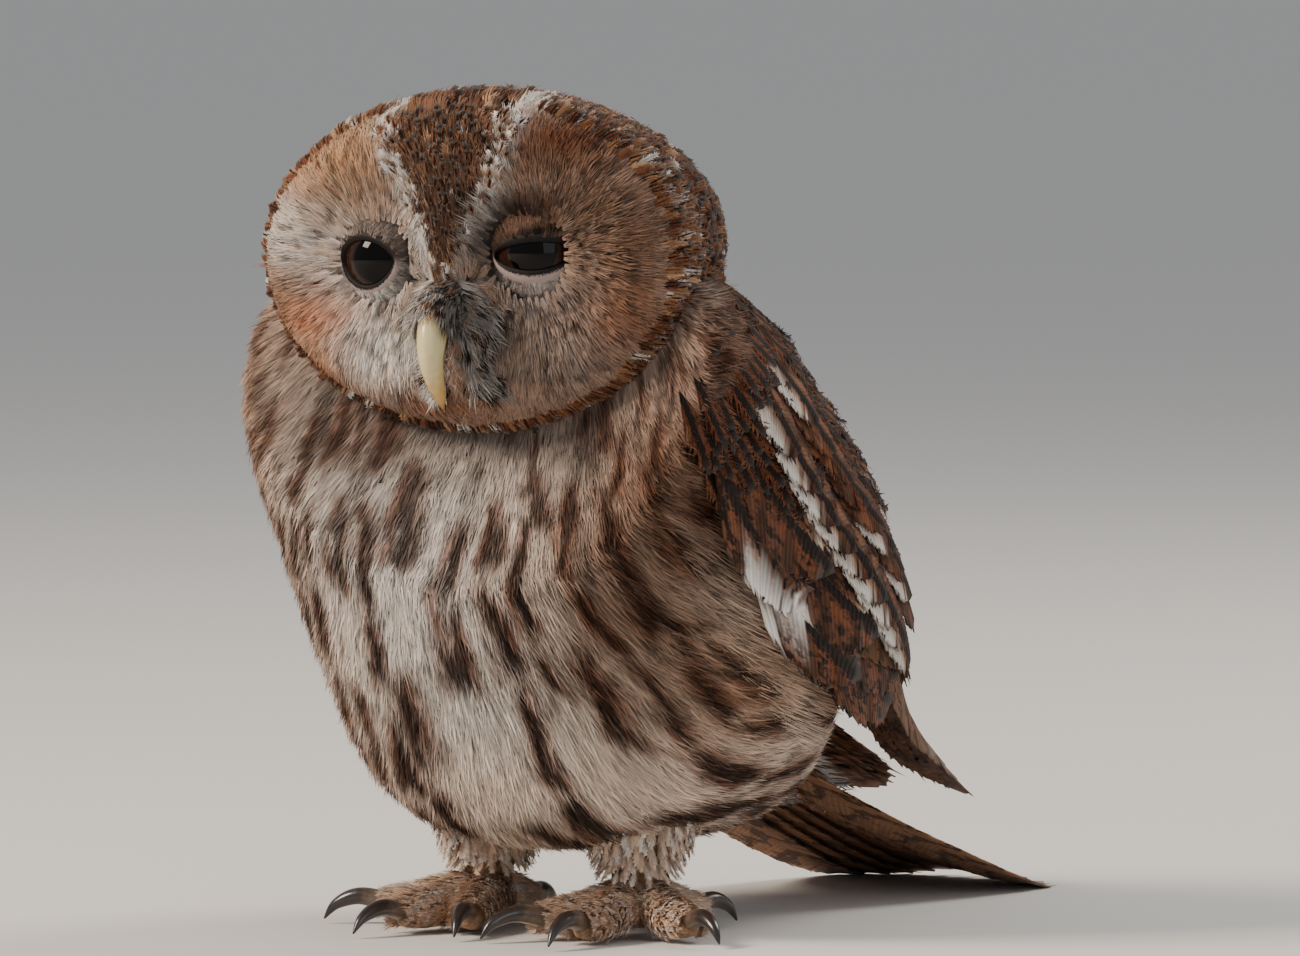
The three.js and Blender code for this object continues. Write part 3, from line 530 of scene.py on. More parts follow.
def steps(surface, u, v, heading):
    """How u and v change for a millimetre along a feather and for one across it. The surface's two slopes
    give a square frame, heading turns it, and the slopes' own products turn it back into u and v."""
    zero = np.zeros(len(u))
    slope_u = (surface(u + SMALL, v, zero) - surface(u - SMALL, v, zero)) / (2 * SMALL)
    slope_v = (surface(u, v + SMALL, zero) - surface(u, v - SMALL, zero)) / (2 * SMALL)
    first = slope_u / np.linalg.norm(slope_u, axis=1, keepdims=True)
    second = slope_v - (slope_v * first).sum(1, keepdims=True) * first
    second /= np.linalg.norm(second, axis=1, keepdims=True)
    c, s = np.cos(heading)[:, None], np.sin(heading)[:, None]
    uu, uv, vv = ((a * b).sum(1) for a, b in ((slope_u, slope_u), (slope_u, slope_v), (slope_v, slope_v)))
    whole = uu * vv - uv ** 2
    made = []
    for way in (c * first + s * second, c * second - s * first):
        a, b = (slope_u * way).sum(1), (slope_v * way).sum(1)
        made.append(((vv * a - uv * b) / whole, (uu * b - uv * a) / whole))
    out = surface(u, v, zero + 1) - surface(u, v, zero)
    facing = np.sign((np.cross(first, second) * out).sum(1).mean())
    return *made, facing


def unruly(size):
    """Random numbers round zero, none past two spreads."""
    return np.clip(draw.normal(size=size), -2, 2)


def batch_of(shape, count, points, a, c, facing):
    """What coat() joins: points kept over the floor, triangles facing out, and each point's vane numbers."""
    points[:, 2] = np.maximum(points[:, 2], FLOOR_GAP)
    size = len(shape["along"])
    corners = shape["faces"] if facing > 0 else shape["faces"][:, ::-1]
    corners = (corners + size * np.arange(count)[:, None, None]).reshape(-1, 3)
    vane = np.stack([a.ravel(), c.ravel(), np.repeat(draw.random(count), size)], -1)
    return {"points": points, "faces": corners, "vane": vane, "barb": np.tile(shape["barb"], count),
            "size": size}


def plant(surface, u, v, shape, length, half, root=-4.0, tip=0.5, heading=0.0, camber=0.12, loose=0.07,
          curl=0.0):
    """Feathers on a surface. Height is root at a = 0 and tip at a = 1, by the power 0.75 of a, plus curl
    times a squared, less camber times half width times across squared."""
    count, across = len(u), shape["across"]
    length, half, root, tip, heading, curl = (np.broadcast_to(np.asarray(x, float), count)
                                              for x in (length, half, root, tip, heading, curl))
    length = length * (1 + 0.1 * unruly(count))
    (ua, va), (uc, vc), facing = steps(surface, u, v, heading + 0.09 * unruly(count))
    wild = unruly((3, count, len(across))) * shape["loose"] * loose
    a, c = shape["along"] + 0.6 * wild[0], across + wild[1]
    far, wide = a * length[:, None], c * half[:, None]
    height = root[:, None] + (tip - root)[:, None] * np.clip(a, 0, 1.2) ** 0.75 + curl[:, None] * a ** 2
    height = height + (wild[2] - camber * across ** 2) * half[:, None]
    height = height + 0.35 * draw.normal(size=(count, 1)) * a
    place = [(x[:, None] + far * xa[:, None] + wide * xc[:, None]).ravel()
             for x, xa, xc in ((u, ua, uc), (v, va, vc))]
    return {**batch_of(shape, count, surface(*place, height.ravel()), a, c, facing), "place": place}


def laid(place, count, shape, half, thick=0.45, camber=0.05, ridge=0.35, loose=0.03):
    """A tier of large feathers: place(f, a, c, lift) gives points for feather f of the tier, from 0 to 1.
    Lift is a ridge along the shaft less a camber, and less the vane's thickness on its underside."""
    slack = shape["loose"]
    wild = draw.normal(size=(2, count, len(slack))) * slack * loose
    a, c = shape["along"] + wild[0], shape["across"] + wild[1]
    f = np.repeat(np.linspace(0, 1, count), len(slack)).reshape(count, -1)
    lift = ridge * np.exp(-(c / 0.1) ** 2) - camber * half * c ** 2 - thick * shape["below"]
    points = place(f, a, c * half, lift).reshape(-1, 3)
    p, q, r = points[shape["faces"][0]]
    up = place(f, a, c * half, lift + 1).reshape(-1, 3)[shape["faces"][0][0]] - p
    return batch_of(shape, count, points, a, c, np.sign(np.cross(q - p, r - p) @ up))


# %% Coats
BAKE_PATCH = 0.003


def dress(batch, tone, streak, marks, unwrap):
    """Gives a batch its tone and streak, its three marks (barring, mottling, pale fringe), and where its
    roots lie on the skin's unwrap. Each has one row a feather or one a point."""
    batch["ground"] = np.c_[tone, np.broadcast_to(streak, len(tone))]
    batch["marks"] = np.stack(np.broadcast_arrays(*marks, tone[:, 0])[:3], -1)
    batch["unwrap"] = unwrap
    return batch


def coat(name, material, batches, *replaced, slot="plumage"):
    """Joins dressed batches into one piece. Each feather gets a small patch of the bake's map, at its
    root's place in the unwrap."""
    def joined(key):
        """One array from all batches, with a value that is given a feather repeated for its points."""
        rows = [(batch[key], len(batch["points"]), batch["size"]) for batch in batches]
        return np.concatenate([row if len(row) == count else np.repeat(row, size, axis=0)
                               for row, count, size in rows])

    start = np.cumsum([0] + [len(batch["points"]) for batch in batches[:-1]])
    faces = np.concatenate([batch["faces"] + first for batch, first in zip(batches, start)])
    piece = mesh_from(name, joined("points"), faces, material)
    vane = joined("vane")
    give(piece, "vane", "FLOAT_VECTOR", vane)
    give(piece, "ground", "FLOAT_COLOR", joined("ground"))
    give(piece, "marks", "FLOAT_COLOR", np.c_[joined("marks"), joined("barb")])
    unwrap = joined("unwrap") + BAKE_PATCH * np.c_[vane[:, 1].clip(-1, 1) / 2, vane[:, 0].clip(0, 1) - 0.5]
    layer = piece.data.uv_layers.new(name="OFBake")
    layer.data.foreach_set("uv", unwrap[faces.ravel()].astype(np.float32).ravel())
    hand_over(piece, slot, *replaced)


def unwrapped(x, y, x_span, y_span):
    """Places in the unwrap's square, kept a little inside its edges."""
    flat = [(np.asarray(value) - low) / (top - low) for value, (low, top) in ((x, x_span), (y, y_span))]
    return np.stack(np.clip(flat, 0, 1), -1) * 0.98 + 0.01


# %% [markdown]
# ## Plumage as a material
# An owl's contour feather has a dark shaft streak, often with side bars and a rusty edge to the dark, on a
# pale or rusty ground. The pattern belongs to the feather, so it is drawn in the feather's own numbers: how
# far along, how far across, and a seed that makes each one a little different. Barbs show as fine lines,
# half a millimetre apart on the smallest feathers and up to three on the tail, drawn coarser than the real
# ones, which would not show. Feather is keratin full of air, so it is matt, with a faint sheen.

# %% The plumage material
def plumage(name, bars=2.5, drop=0.9, mottle=(5.0, 3.0), dark=SOOT, sheen=0.05):
    """Ground colour, then a rusty halo, a dark streak and bars, mottling, and light and shade barb by
    barb."""
    made, add = new_material(name)
    vane = add("Attribute", out="Vector", attribute_name="vane")
    along, side, seed = add("SeparateXYZ", [vane], out=None)
    ground = add("Attribute", out=None, attribute_name="ground")
    marks = add("Attribute", out=None, attribute_name="marks")
    barring, mottling, fringe = add("SeparateColor", [marks["Color"]], out=None)

    apart = add("Math", [seed, 40.0], operation="MULTIPLY")
    placed = add("VectorMath", [vane, add("CombineXYZ", [apart, apart])], operation="ADD")
    stretched = add("VectorMath", [placed, (*mottle, 1)], operation="MULTIPLY")
    noise = add("TexNoise", {"Vector": stretched, "Scale": 1.0, "Detail": 3.0, "Roughness": 0.6})
    wander = add("MapRange", [noise, 0.3, 0.7, -0.16, 0.16])
    flat = add("Math", [side], operation="ABSOLUTE")
    across = add("Math", [flat, wander], operation="ADD")
    width = add("Math", [ground["Alpha"], 0.5], operation="MULTIPLY")
    there = add("MapRange", [ground["Alpha"], 0.02, 0.12])
    soft = add("Math", [width, 0.12], operation="ADD")
    streak = add("MapRange", [across, width, soft, 1.0, 0.0], **SMOOTH)
    streak = add("Math", [streak, there], operation="MULTIPLY")
    wider = add("Math", [width, 0.42], operation="ADD")
    halo = add("MapRange", [across, width, wider, 0.8, 0.0], **SMOOTH)
    halo = add("Math", [halo, there], operation="MULTIPLY")

    fall = add("Math", [flat, -drop / bars, along], operation="MULTIPLY_ADD")
    shaken = add("Math", [wander, 0.35, fall], operation="MULTIPLY_ADD")
    phase = add("Math", [shaken, 6.283 * bars, apart], operation="MULTIPLY_ADD")
    bar = add("MapRange", [add("Math", [phase], operation="SINE"), 0.15, 0.7], **SMOOTH)
    bar = add("Math", [bar, barring], operation="MULTIPLY")
    spots = add("Math", [add("MapRange", [noise, 0.46, 0.6], **SMOOTH), mottling], operation="MULTIPLY")
    inked = add("Math", [bar, spots], operation="MAXIMUM")
    inked = add("Math", [inked, streak], operation="MAXIMUM")
    warm = add("Mix", {0: halo, 6: ground["Color"], 7: opaque(RUST)}, **COLOURS)
    drawn = add("Mix", {0: inked, 6: warm, 7: opaque(dark)}, **COLOURS)

    number = add("Math", [marks["Alpha"], 6.283], operation="MULTIPLY")
    ridge = add("Math", [number], operation="SINE")
    shade = add("MapRange", [ridge, -1.0, 1.0, 0.78, 1.08])
    grey = add("CombineColor", [shade, shade, shade])
    lined = add("Mix", {0: 1.0, 6: drawn, 7: grey}, blend_type="MULTIPLY", **COLOURS)
    tipped = add("Math", [add("MapRange", [along, 0.8, 1.05]), fringe], operation="MULTIPLY")
    edged = add("Mix", {0: tipped, 6: lined, 7: opaque(WHITE)}, **COLOURS)
    bumps = add("Bump", {"Height": ridge, "Strength": 0.25, "Distance": 0.0002})
    finish_material(add, {"Base Color": edged, "Roughness": 0.78, "Specular IOR Level": 0.1,
                          "Sheen Weight": sheen, "Sheen Roughness": 0.5, "Normal": bumps})
    return made


BODY_PLUMAGE = plumage("Soft body feathers")
HEAD_PLUMAGE = plumage("Small head feathers", bars=1.4, mottle=(2.5, 1.6))
HAIR_PLUMAGE = plumage("Hair-like face feathers", bars=0.8, mottle=(1.5, 0.8), sheen=0.07)
FLIGHT_PLUMAGE = plumage("Barred flight feathers", bars=6.5, drop=0.35, mottle=(16.0, 3.0), dark=UMBER * 0.8)
COVERT_PLUMAGE = plumage("Marbled wing coverts", bars=3.5, drop=0.8, mottle=(13.0, 5.0), sheen=0.08)
print("materials:", len(bpy.data.materials))

# %% [markdown]
# ## Where the colours go
# Skin and coat share one set of markings. Each part has a ground colour, and soft patches are laid over it
# like washes: each fades from its middle by a bell curve. What differs from feather to feather is drawn at
# random with a fixed seed: dark, white or rusty, with chances that change from place to place.

# %% Mixing and chances
def mixed(a, b, share):
    """Colours a and b, each one or a row each, by a share of b that is one number or one a row."""
    share = np.reshape(share, (-1, 1))
    return a * (1 - share) + b * share


def painted(base, places, washes):
    """Over the base, each wash of (middle, reach, colour, strength): mixed by strength times a bell of the
    distance counted in reaches."""
    colour = base
    for middle, reach_of, wash, strength in washes:
        colour = mixed(colour, wash, strength * np.exp(-(((places - middle) / reach_of) ** 2).sum(1)))
    return colour


def varied(colour, amount, count):
    """Count rows of colour, each a little lighter or darker, and a little warmer or cooler."""
    light = 1 + amount * draw.normal(size=(count, 1))
    warm = 1 + 0.35 * amount * draw.normal(size=(count, 1)) * np.array([1, 0, -1])
    return np.clip(colour * light * warm, 0.003, 0.95)


def chances(shares):
    """Which of several kinds each feather is: shares is one row a feather, one column a kind."""
    total = np.cumsum(shares, axis=1) / shares.sum(1, keepdims=True)
    return (draw.random((len(shares), 1)) > total).sum(1)


TONES = np.array([WHITE, BUFF, TAN, RUFOUS, UMBER])
HEAD_TONES = TONES * [[1], [0.75], [0.75], [0.75], [1]]


def by_chance(count, shares, base, share, amount, tones=TONES):
    """Tones for count feathers: each a kind, drawn by its share, mixed with a share of the base and varied.
    Gives the kinds too."""
    kind = chances(np.broadcast_to(shares, (count, len(tones))))
    return varied(mixed(tones[kind], base, share), amount, count), kind


def wave_noise(places, size, seed):
    """A smooth field, mostly from -1 to 1: 1.7 times the mean of six sine waves of about the given size in
    random directions."""
    rng = np.random.default_rng(seed)
    ways = rng.normal(size=(6, places.shape[1])) * (2.2 / size)
    return np.sin(places @ ways.T + rng.random(6) * 6.283).mean(1) * 1.7


# %% Washes
HEAD_WASHES = [
    ((-45, 15, 26), (10, 20, 11), RUFOUS, 0.8), ((-46, 15, 8), (12, 20, 11), WHITE, 0.75),
    ((-34, 18, 26), (15, 20, 10), BUFF, 0.8), ((-38, 18, -12), (13, 20, 6), linear("#c4713c"), 0.85),
    ((-23, 20, -21), (14, 20, 10), WHITE, 0.95), ((-42, 16, -26), (9, 20, 9), linear("#b98259"), 0.7),
    ((14, 20, -15), (8, 20, 10), linear("#4f4944"), 0.7),
    ((28, 20, -24), (15, 20, 9), linear("#877970"), 0.85),
    ((44, 16, -14), (9, 20, 10), RUFOUS, 0.75), ((15, 20, 12), (8, 20, 8), GREY * 0.8, 0.8),
    ((33, 18, 27), (20, 20, 9), RUST * 0.58, 0.92), ((-10, 20, -34), (18, 20, 5), RUST, 0.75),
    ((47, 16, 3), (9, 20, 14), linear("#694835"), 0.8), ((-51, 14, -6), (8, 20, 8), TAN * 0.6, 0.7),
    ((-24, 20, -2), (13, 20, 12), WHITE, 0.6), ((24, 20, -10), (12, 20, 6), linear("#8c817c"), 0.7),
    # Two washes are painted shade: the umber one at (22, 20, 13), in the crease over the half-closed left
    # eye, and the dark one at (11, 20, 2), in that eye's inner corner.
    ((36, 20, 10), (14, 20, 9), linear("#70594a"), 0.75), ((22, 20, 13), (13, 20, 3.5), UMBER * 0.7, 0.85),
    ((11, 20, 2), (5, 20, 9), linear("#403834"), 0.85)]
BREAST_WASHES = [
    ((-8, -70, 100), (40, 40, 42), WHITE * 0.92, 0.9), ((14, -60, 64), (44, 40, 24), WHITE * 0.85, 0.7),
    # The grey-brown wash under the chin is partly the throat's own feathers and partly painted shade under
    # the head.
    ((-4, -72, 139), (54, 30, 17), linear("#6c6058"), 0.88),
    ((66, -45, 126), (24, 45, 28), linear("#704a35"), 0.9),
    ((56, -46, 92), (27, 40, 32), linear("#806049"), 0.85), ((-68, -40, 122), (22, 45, 44), TAN * 0.9, 0.75),
    ((64, -6, 70), (24, 30, 18), BUFF * 0.9, 0.6), ((60, -25, 160), (30, 32, 22), RUFOUS * 0.7, 0.95),
    ((-64, -30, 158), (22, 32, 20), RUFOUS * 0.8, 0.8)]


def head_ground(side, forward, up):
    """Tan on the face with its washes, darker and rustier behind the rim."""
    front = painted(mixed(GREY, TAN, 0.6), np.stack([side, forward, up], -1), HEAD_WASHES)
    return mixed(front, mixed(RUFOUS, UMBER, 0.55), ease(-forward, -12, -4))


def brow_line(side, up):
    """The white V: strongest where the place is 6.7 mm plus 0.35 of its height to the side. Its left arm
    fades out towards the bill."""
    faded = 1 - 0.8 * ease(side, 0, 3) * (1 - ease(up, 4, 20))
    return np.exp(-((np.abs(side) - 6.7 - 0.35 * np.clip(up, -6, 45)) / 3.8) ** 2) * ease(up, -10, -2) * faded


def crown_stripe(side, forward, up):
    """The dark stripe between the lines of the V, a bell of the side's distance, wider towards the nape."""
    return np.exp(-(side / (8.0 + 0.06 * np.abs(forward - 20))) ** 2) * ease(up, -6, 14)


def trunk_ground(points):
    """Pale on the breast with its washes, rusty brown over the back."""
    front = painted(mixed(WHITE, BUFF, 0.45), points, BREAST_WASHES)
    behind = ease(points[:, 1] + 0.32 * points[:, 2], 33, 53) * ease(points[:, 2], 44, 76)
    return mixed(front, mixed(RUFOUS, UMBER, 0.4), behind)


middle_tones = head_ground(np.array([0.0, 40]), np.array([20.0, 15]), np.array([0.0, 0]))
print("two middle washes:", middle_tones.round(2))

# %% [markdown]
# ## The pattern of the breast
# The breast's dark streaks run in columns down the feathers' flow, a shaft streak to each large feather,
# with slanting side bars and a rusty edge. Drawn feather by feather they would break up, since soft feathers
# overlap by more than half. So one function of the place on the breast gives the whole pattern, and skin,
# feathers and loose strands all read it.

# %% Streaks
FLOW = 0.0079
COLUMN, DASH = 11.0, 21.0
column_luck = np.random.default_rng(7).random((3, 64))


def streaks(t, angle):
    """Dark and rusty shares at a place on the breast. Columns follow the feathers' flow, across x = q times
    e to the power FLOW (s - 90), and each is cut into dashes that widen downwards and carry slanting side
    bars. A dash's luck is a common hash of its own number and its column's."""
    x, s = 68 * (angle + np.pi / 2), 205 * t
    places = np.stack([x, s], -1)
    fine = wave_noise(places, 3.5, 13)
    x = x + 2.0 * wave_noise(places, 8, 11) + 0.9 * fine
    s = s + 3.5 * wave_noise(places, 12, 12) + 1.2 * wave_noise(places, 5, 14)
    q = x * np.exp(-FLOW * (s - 90))
    best = np.full(len(q), 99.0)
    column = np.zeros(len(q), int)
    for step in (-1, 0, 1):
        j = (np.floor(q / COLUMN) + step).astype(int)
        luck = column_luck[:, j % 64]
        middle = COLUMN * (j + 0.5) + 6 * (luck[0] - 0.5) + 2 * np.sin(s / 13 + 6.28 * luck[1])
        nearer = np.abs(q - middle) < np.abs(best)
        best, column = np.where(nearer, q - middle, best), np.where(nearer, j, column)
    dash = s / DASH + column_luck[2, column % 64]
    f = dash % 1
    luck = np.sin(column * 12.9898 + np.floor(dash) * 78.233) * 43758.5453 % 1
    away = np.abs(best)
    wide = (0.7 + 2.5 * f) * (0.65 + 0.6 * luck)
    short = 1 - ease(t, 0.2, 0.36)
    there = ease(f, 0.3 * short, 0.15 + 0.3 * short) * (1 - ease(f, 0.88 - 0.24 * short, 1.0 - 0.24 * short))
    there = there * (luck > 0.07)
    shaft = (1 - ease(away, 0.5 * wide, wide + 0.8)) * there
    slant = ease(np.sin(6.283 * (s + 0.8 * away + 1.5 * fine) / 7.5), 0, 0.5)
    bars = slant * np.exp(-(np.clip(away - 1.4, 0, None) / 4.6) ** 2) * there * (0.75 + 0.3 * luck)
    rusty = np.exp(-(np.clip(away - wide, 0, None) / 2.6) ** 2) * np.sqrt(there) * (0.8 + 0.4 * fine)
    shoulder = ease(angle, -75 * DEGREES, -35 * DEGREES) * (1 - ease(t, 0.42, 0.62))
    collar = 1 - ease(t, 0.24, 0.38)
    flecks = ease(wave_noise(places * (1, 0.4), 4.5, 15), 0.05, 0.6)
    flecks = flecks * np.maximum(0.75 * shoulder, 0.8 * collar)
    return np.clip(np.maximum(np.maximum(shaft, 0.95 * bars), flecks), 0, 1), np.clip(rusty, 0, 1)


def streaked(tone, dark, rusty):
    """Rust and then near-black laid over a tone."""
    tone = mixed(tone, RUST, np.clip(0.85 * rusty, 0, 1))
    return mixed(tone, SOOT, np.clip(0.95 * dark, 0, 1))


# %% [markdown]
# ## The skin
# Under the coat a bird is one continuous skin. Separate shells for head, trunk, wings and legs would meet
# in creases, so closed shells, each a little inside its solid, are remeshed together: the voxel remesh
# keeps only the outside of all of them, and a light smoothing rounds where they met.

# %% Legs and toes
LEG = [(24, 12, 64, 27, 36), (25, 8, 48, 23, 31), (25, 4, 31, 16, 19), (25, 3, 17, 11, 12)]
LEG_SIDE, LEG_BACK, FOOT_HEIGHT, TOE_THICK = 25, 4, 9, 6.4
TOES = {"inner": (-24, 33, 19), "middle": (8, 37, 19), "outer": (62, 31, 17), "hind": (172, 23, 17)}
# degrees from straight ahead, toe's length, claw's reach


def leg_at(hand):
    """A leg's oval rings, read along LEG: side, back, up, half width and half depth."""
    def place(t, angle, height):
        side, back, up, wide, deep = np.moveaxis(rows_at(LEG, t), -1, 0)
        across = hand * (side + (wide + height) * np.cos(angle))
        return np.stack([across, back + (deep + height) * np.sin(angle), up + 0 * across], -1)
    return place


def tube_at(path, radii):
    """A round tube: its middle and radius are read along rows, its ring stands square to the path."""
    def place(t, angle, height):
        run = heading_of(path, t)
        across = np.cross([0, 0, 1], run)
        across /= np.linalg.norm(across, axis=-1, keepdims=True)
        radius = (rows_at(radii, t) + height)[..., None]
        c, s = np.cos(angle)[..., None], np.sin(angle)[..., None]
        return rows_at(path, t) + radius * (c * across + s * np.cross(run, across))
    return place


def toe_tube(hand, degrees, way, radii):
    """A tube from under the ankle out at an angle, through points of (how far out, how high)."""
    ankle = np.array([hand * LEG_SIDE, LEG_BACK, 0])
    out = np.array([hand * np.sin(degrees * DEGREES), -np.cos(degrees * DEGREES), 0])
    return tube_at([ankle + out * far + np.array([0, 0, high]) for far, high in way], radii)


def toe_at(hand, name):
    degrees, length, _ = TOES[name]
    way = [(length * share, high) for share, high in ((0, FOOT_HEIGHT), (0.35, TOE_THICK + 1.2),
                                                      (0.72, TOE_THICK - 1), (1, TOE_THICK - 1.4))]
    return toe_tube(hand, degrees, way, TOE_THICK * np.array([1.25, 1.1, 1, 0.94, 0.72]))


def arm_at(hand):
    """A flat tube between the trunk and the coverts' roots, from the wing's lower edge to its upper one."""
    def place(t, angle, height):
        low, high = -6.0, np.maximum(wing_back(t) - 6.5, -4.0)
        lift = (low + high) / 2 + ((high - low) / 2 + height) * np.sin(angle)
        return ring(BED, t, (34 - 36 * np.cos(angle)) * DEGREES, lift, hand)
    return place


# %% Throat and shells
THROAT_SLOPE = 0.85
THROAT_ROUND = 300


def disc_margin(side, up):
    """How far outside the facial disc a place is, in mm, by an ellipse's share: below zero is inside."""
    high = np.where(up > 0, 43.5, 47)
    return (np.sqrt((side / 61) ** 2 + (up / high) ** 2) - 1) * high


def throated(t, angle, height):
    """The trunk, but in front of the facial disc it is moved straight back to a funnel that opens from the
    disc's rim, THROAT_SLOPE mm forward for each mm out. A soft minimum rounds the funnel's edge."""
    points = trunk_at(t, angle, height)
    side, forward, up = in_head(points)
    margin = disc_margin(side, up)
    over = forward - (5 + THROAT_SLOPE * margin + 0.6 * height + 60 * ease(margin, 30, 90))
    push = 0.5 * (over + np.sqrt(over ** 2 + THROAT_ROUND * ease(-margin, -30, 0) + 20))
    return points + push[..., None] * (HEAD_TURN @ [0, 1, 0])


def shell(surface, low, high, height, rows=40, sides=48):
    """A closed shell: rings from low to high along a surface, with a point at the middle of each end."""
    t, angle = around(np.linspace(low, high, rows), sides)
    points = surface(t.ravel(), angle.ravel(), np.full(t.size, float(height)))
    ends = [points[:sides].mean(0), points[-sides:].mean(0)]
    return np.concatenate([points, ends]), tube_faces(rows, sides)


def trunk_tones(points, rows, sides):
    """The ground and the streaks of the breast for the points of the trunk's shell."""
    t, angle = around(np.linspace(0, 1, rows), sides)
    t, angle = np.r_[t.ravel(), 0, 1], np.r_[angle.ravel() - TURN, -1.6, -1.6]
    return streaked(trunk_ground(points), *streaks(t, angle))


def head_tones(points):
    """The head's washes with the stripe and the V over them."""
    side, forward, up = in_head(points)
    tone = mixed(head_ground(side, forward, up), UMBER, 0.8 * crown_stripe(side, forward, up))
    return mixed(tone, WHITE, 0.6 * brow_line(side, up) * ease(forward, -16, 6))


# %% One skin from many shells
TRUNK_GRID = (110, 150)
SKIN_VOXEL = 0.0024
trunk_shell = shell(throated, 0.0, 1.0, -5.5, *TRUNK_GRID)
head_shell = shell(head_at, 0.0, 1.0, -3.5)
shells = [(*trunk_shell, trunk_tones(trunk_shell[0], *TRUNK_GRID)), (*head_shell, head_tones(head_shell[0]))]
for hand, _ in SIDES:
    toes = [shell(toe_at(hand, name), 0, 1, -1.2, 16, 20) for name in TOES]
    shells.append((*shell(arm_at(hand), 0.02, 0.5, 0.0, 30, 48), RUFOUS * 0.6))
    shells += [(*one, BUFF) for one in (shell(leg_at(hand), 0, 1, -4, 20, 32), *toes)]
start = np.cumsum([0] + [len(points) for points, _, _ in shells[:-1]])
skin_points = np.concatenate([points for points, _, _ in shells])
skin_tones = np.concatenate([np.broadcast_to(tone, points.shape) for points, _, tone in shells])
skin_faces = np.concatenate([faces + first for (_, faces, _), first in zip(shells, start)])

# The skin that shows between feathers is matt and darker than the coat by painted shade of the feathers over
# it, in clumps of about a millimetre.
hide, add = new_material("Skin under painted shade")
# painted shade: noise in clumps of about a millimetre, turned into 0.25 to 0.6 times the coat's tone
down = add("TexNoise", {"Vector": add("TexCoord", out="Object"), "Scale": 900.0, "Detail": 3.0})
painted_shade = add("MapRange", [down, 0.3, 0.7, 0.25, 0.6])
painted_shade = add("CombineColor", [painted_shade, painted_shade, painted_shade])
tone = add("Attribute", out="Color", attribute_name="ground")
shaded_skin = add("Mix", {0: 1.0, 6: tone, 7: painted_shade}, blend_type="MULTIPLY", **COLOURS)
finish_material(add, {"Base Color": shaded_skin, "Roughness": 0.9, "Sheen Weight": 0.2})

rough = mesh_from("Rough skin", skin_points, skin_faces, hide)
modifier = rough.modifiers.new("One surface", "REMESH")
modifier.mode = "VOXEL"
modifier.voxel_size = SKIN_VOXEL
modifier.use_smooth_shade = True
rounding = rough.modifiers.new("Rounding", "SMOOTH")
rounding.iterations = 6
skin_mesh = bpy.data.meshes.new_from_object(rough.evaluated_get(bpy.context.evaluated_depsgraph_get()))
bpy.data.objects.remove(rough)
skin = bpy.data.objects.new("Skin", skin_mesh)
bpy.context.scene.collection.objects.link(skin)

# %% The skin's colours
found = np.zeros(3 * len(skin_mesh.vertices), np.float32)
skin_mesh.vertices.foreach_get("co", found)
found = found.reshape(-1, 3) * 1000 - SHIFT
near_points = kdtree.KDTree(len(skin_points))
for i, point in enumerate(skin_points):
    near_points.insert(point, i)
near_points.balance()
nearest = [near_points.find(point)[1] for point in found]
give(skin, "ground", "FLOAT_COLOR", np.c_[skin_tones[nearest], np.zeros(len(found))])
hand_over(skin, "plumage", "torso", "neck", "head", "leg_left", "leg_right", "foot_left", "foot_right")
print("the shells have", len(skin_points), "points, the skin", len(found))

# %% [markdown]
# ## Breast, belly and back
# The breast feathers are the largest of the soft ones, about 27 mm long, and two layers of loose strands
# lie over them. They hang straight down in the middle and sweep back over the flanks. Feathers that
# head or wings would hide are left out, which is found from the same surfaces.

# %% What hides a root
def inside_head(points, margin):
    """True where a point is within the head's ellipse for how far forward it is, less a margin."""
    side, forward, up = in_head(points)
    rows = rows_at(HEAD, np.linspace(0, 1, 120))[::-1]
    wide, above, below = (np.interp(forward, rows[:, 0], rows[:, k]) for k in (1, 2, 3))
    high = np.where(up > 0, above, below)
    within = (side / (wide - margin)) ** 2 + (up / (high - margin)) ** 2 < 1
    return within & (forward < 24 - margin) & (forward > -60 + margin)


def inside_trunk(points, margin):
    """True where a point is within the trunk's section nearest to it, less a margin."""
    row, back, up = section(TRUNK, np.linspace(0, 1, 100))
    away = points[:, None, 1:] - row[None, :, :2]
    run = np.stack([up, -back], -1)
    i = np.abs((away * run).sum(-1)).argmin(1)
    away = away[np.arange(len(points)), i]
    rise = away[:, 0] * back[i] + away[:, 1] * up[i]
    off = np.abs((away * run[i]).sum(-1))
    radius = np.where(rise > 0, row[i, 3], row[i, 4]) - margin
    filled = np.abs(points[:, 0] / (row[i, 2] - margin)) ** 2.35
    filled = filled + np.abs(rise / np.maximum(radius, 1)) ** 2.35
    return (filled < 1) & (off < 3)


def under_wing(t, angle):
    """True well inside a folded wing's upper and lower edges."""
    tilt = np.degrees(np.where(np.cos(angle) > 0, angle, np.pi - angle))
    tilt = (tilt + 180) % 360 - 180
    along = np.interp(t, [0.235, 0.37, 0.5, 0.625, 0.75, 0.875, 1], [0, 0.125, 0.25, 0.375, 0.5, 0.62, 0.75])
    return (t > 0.26) & (tilt > rows_at(WING_LOW, along) + 14) & (tilt < rows_at(WING_HIGH, along) - 16)


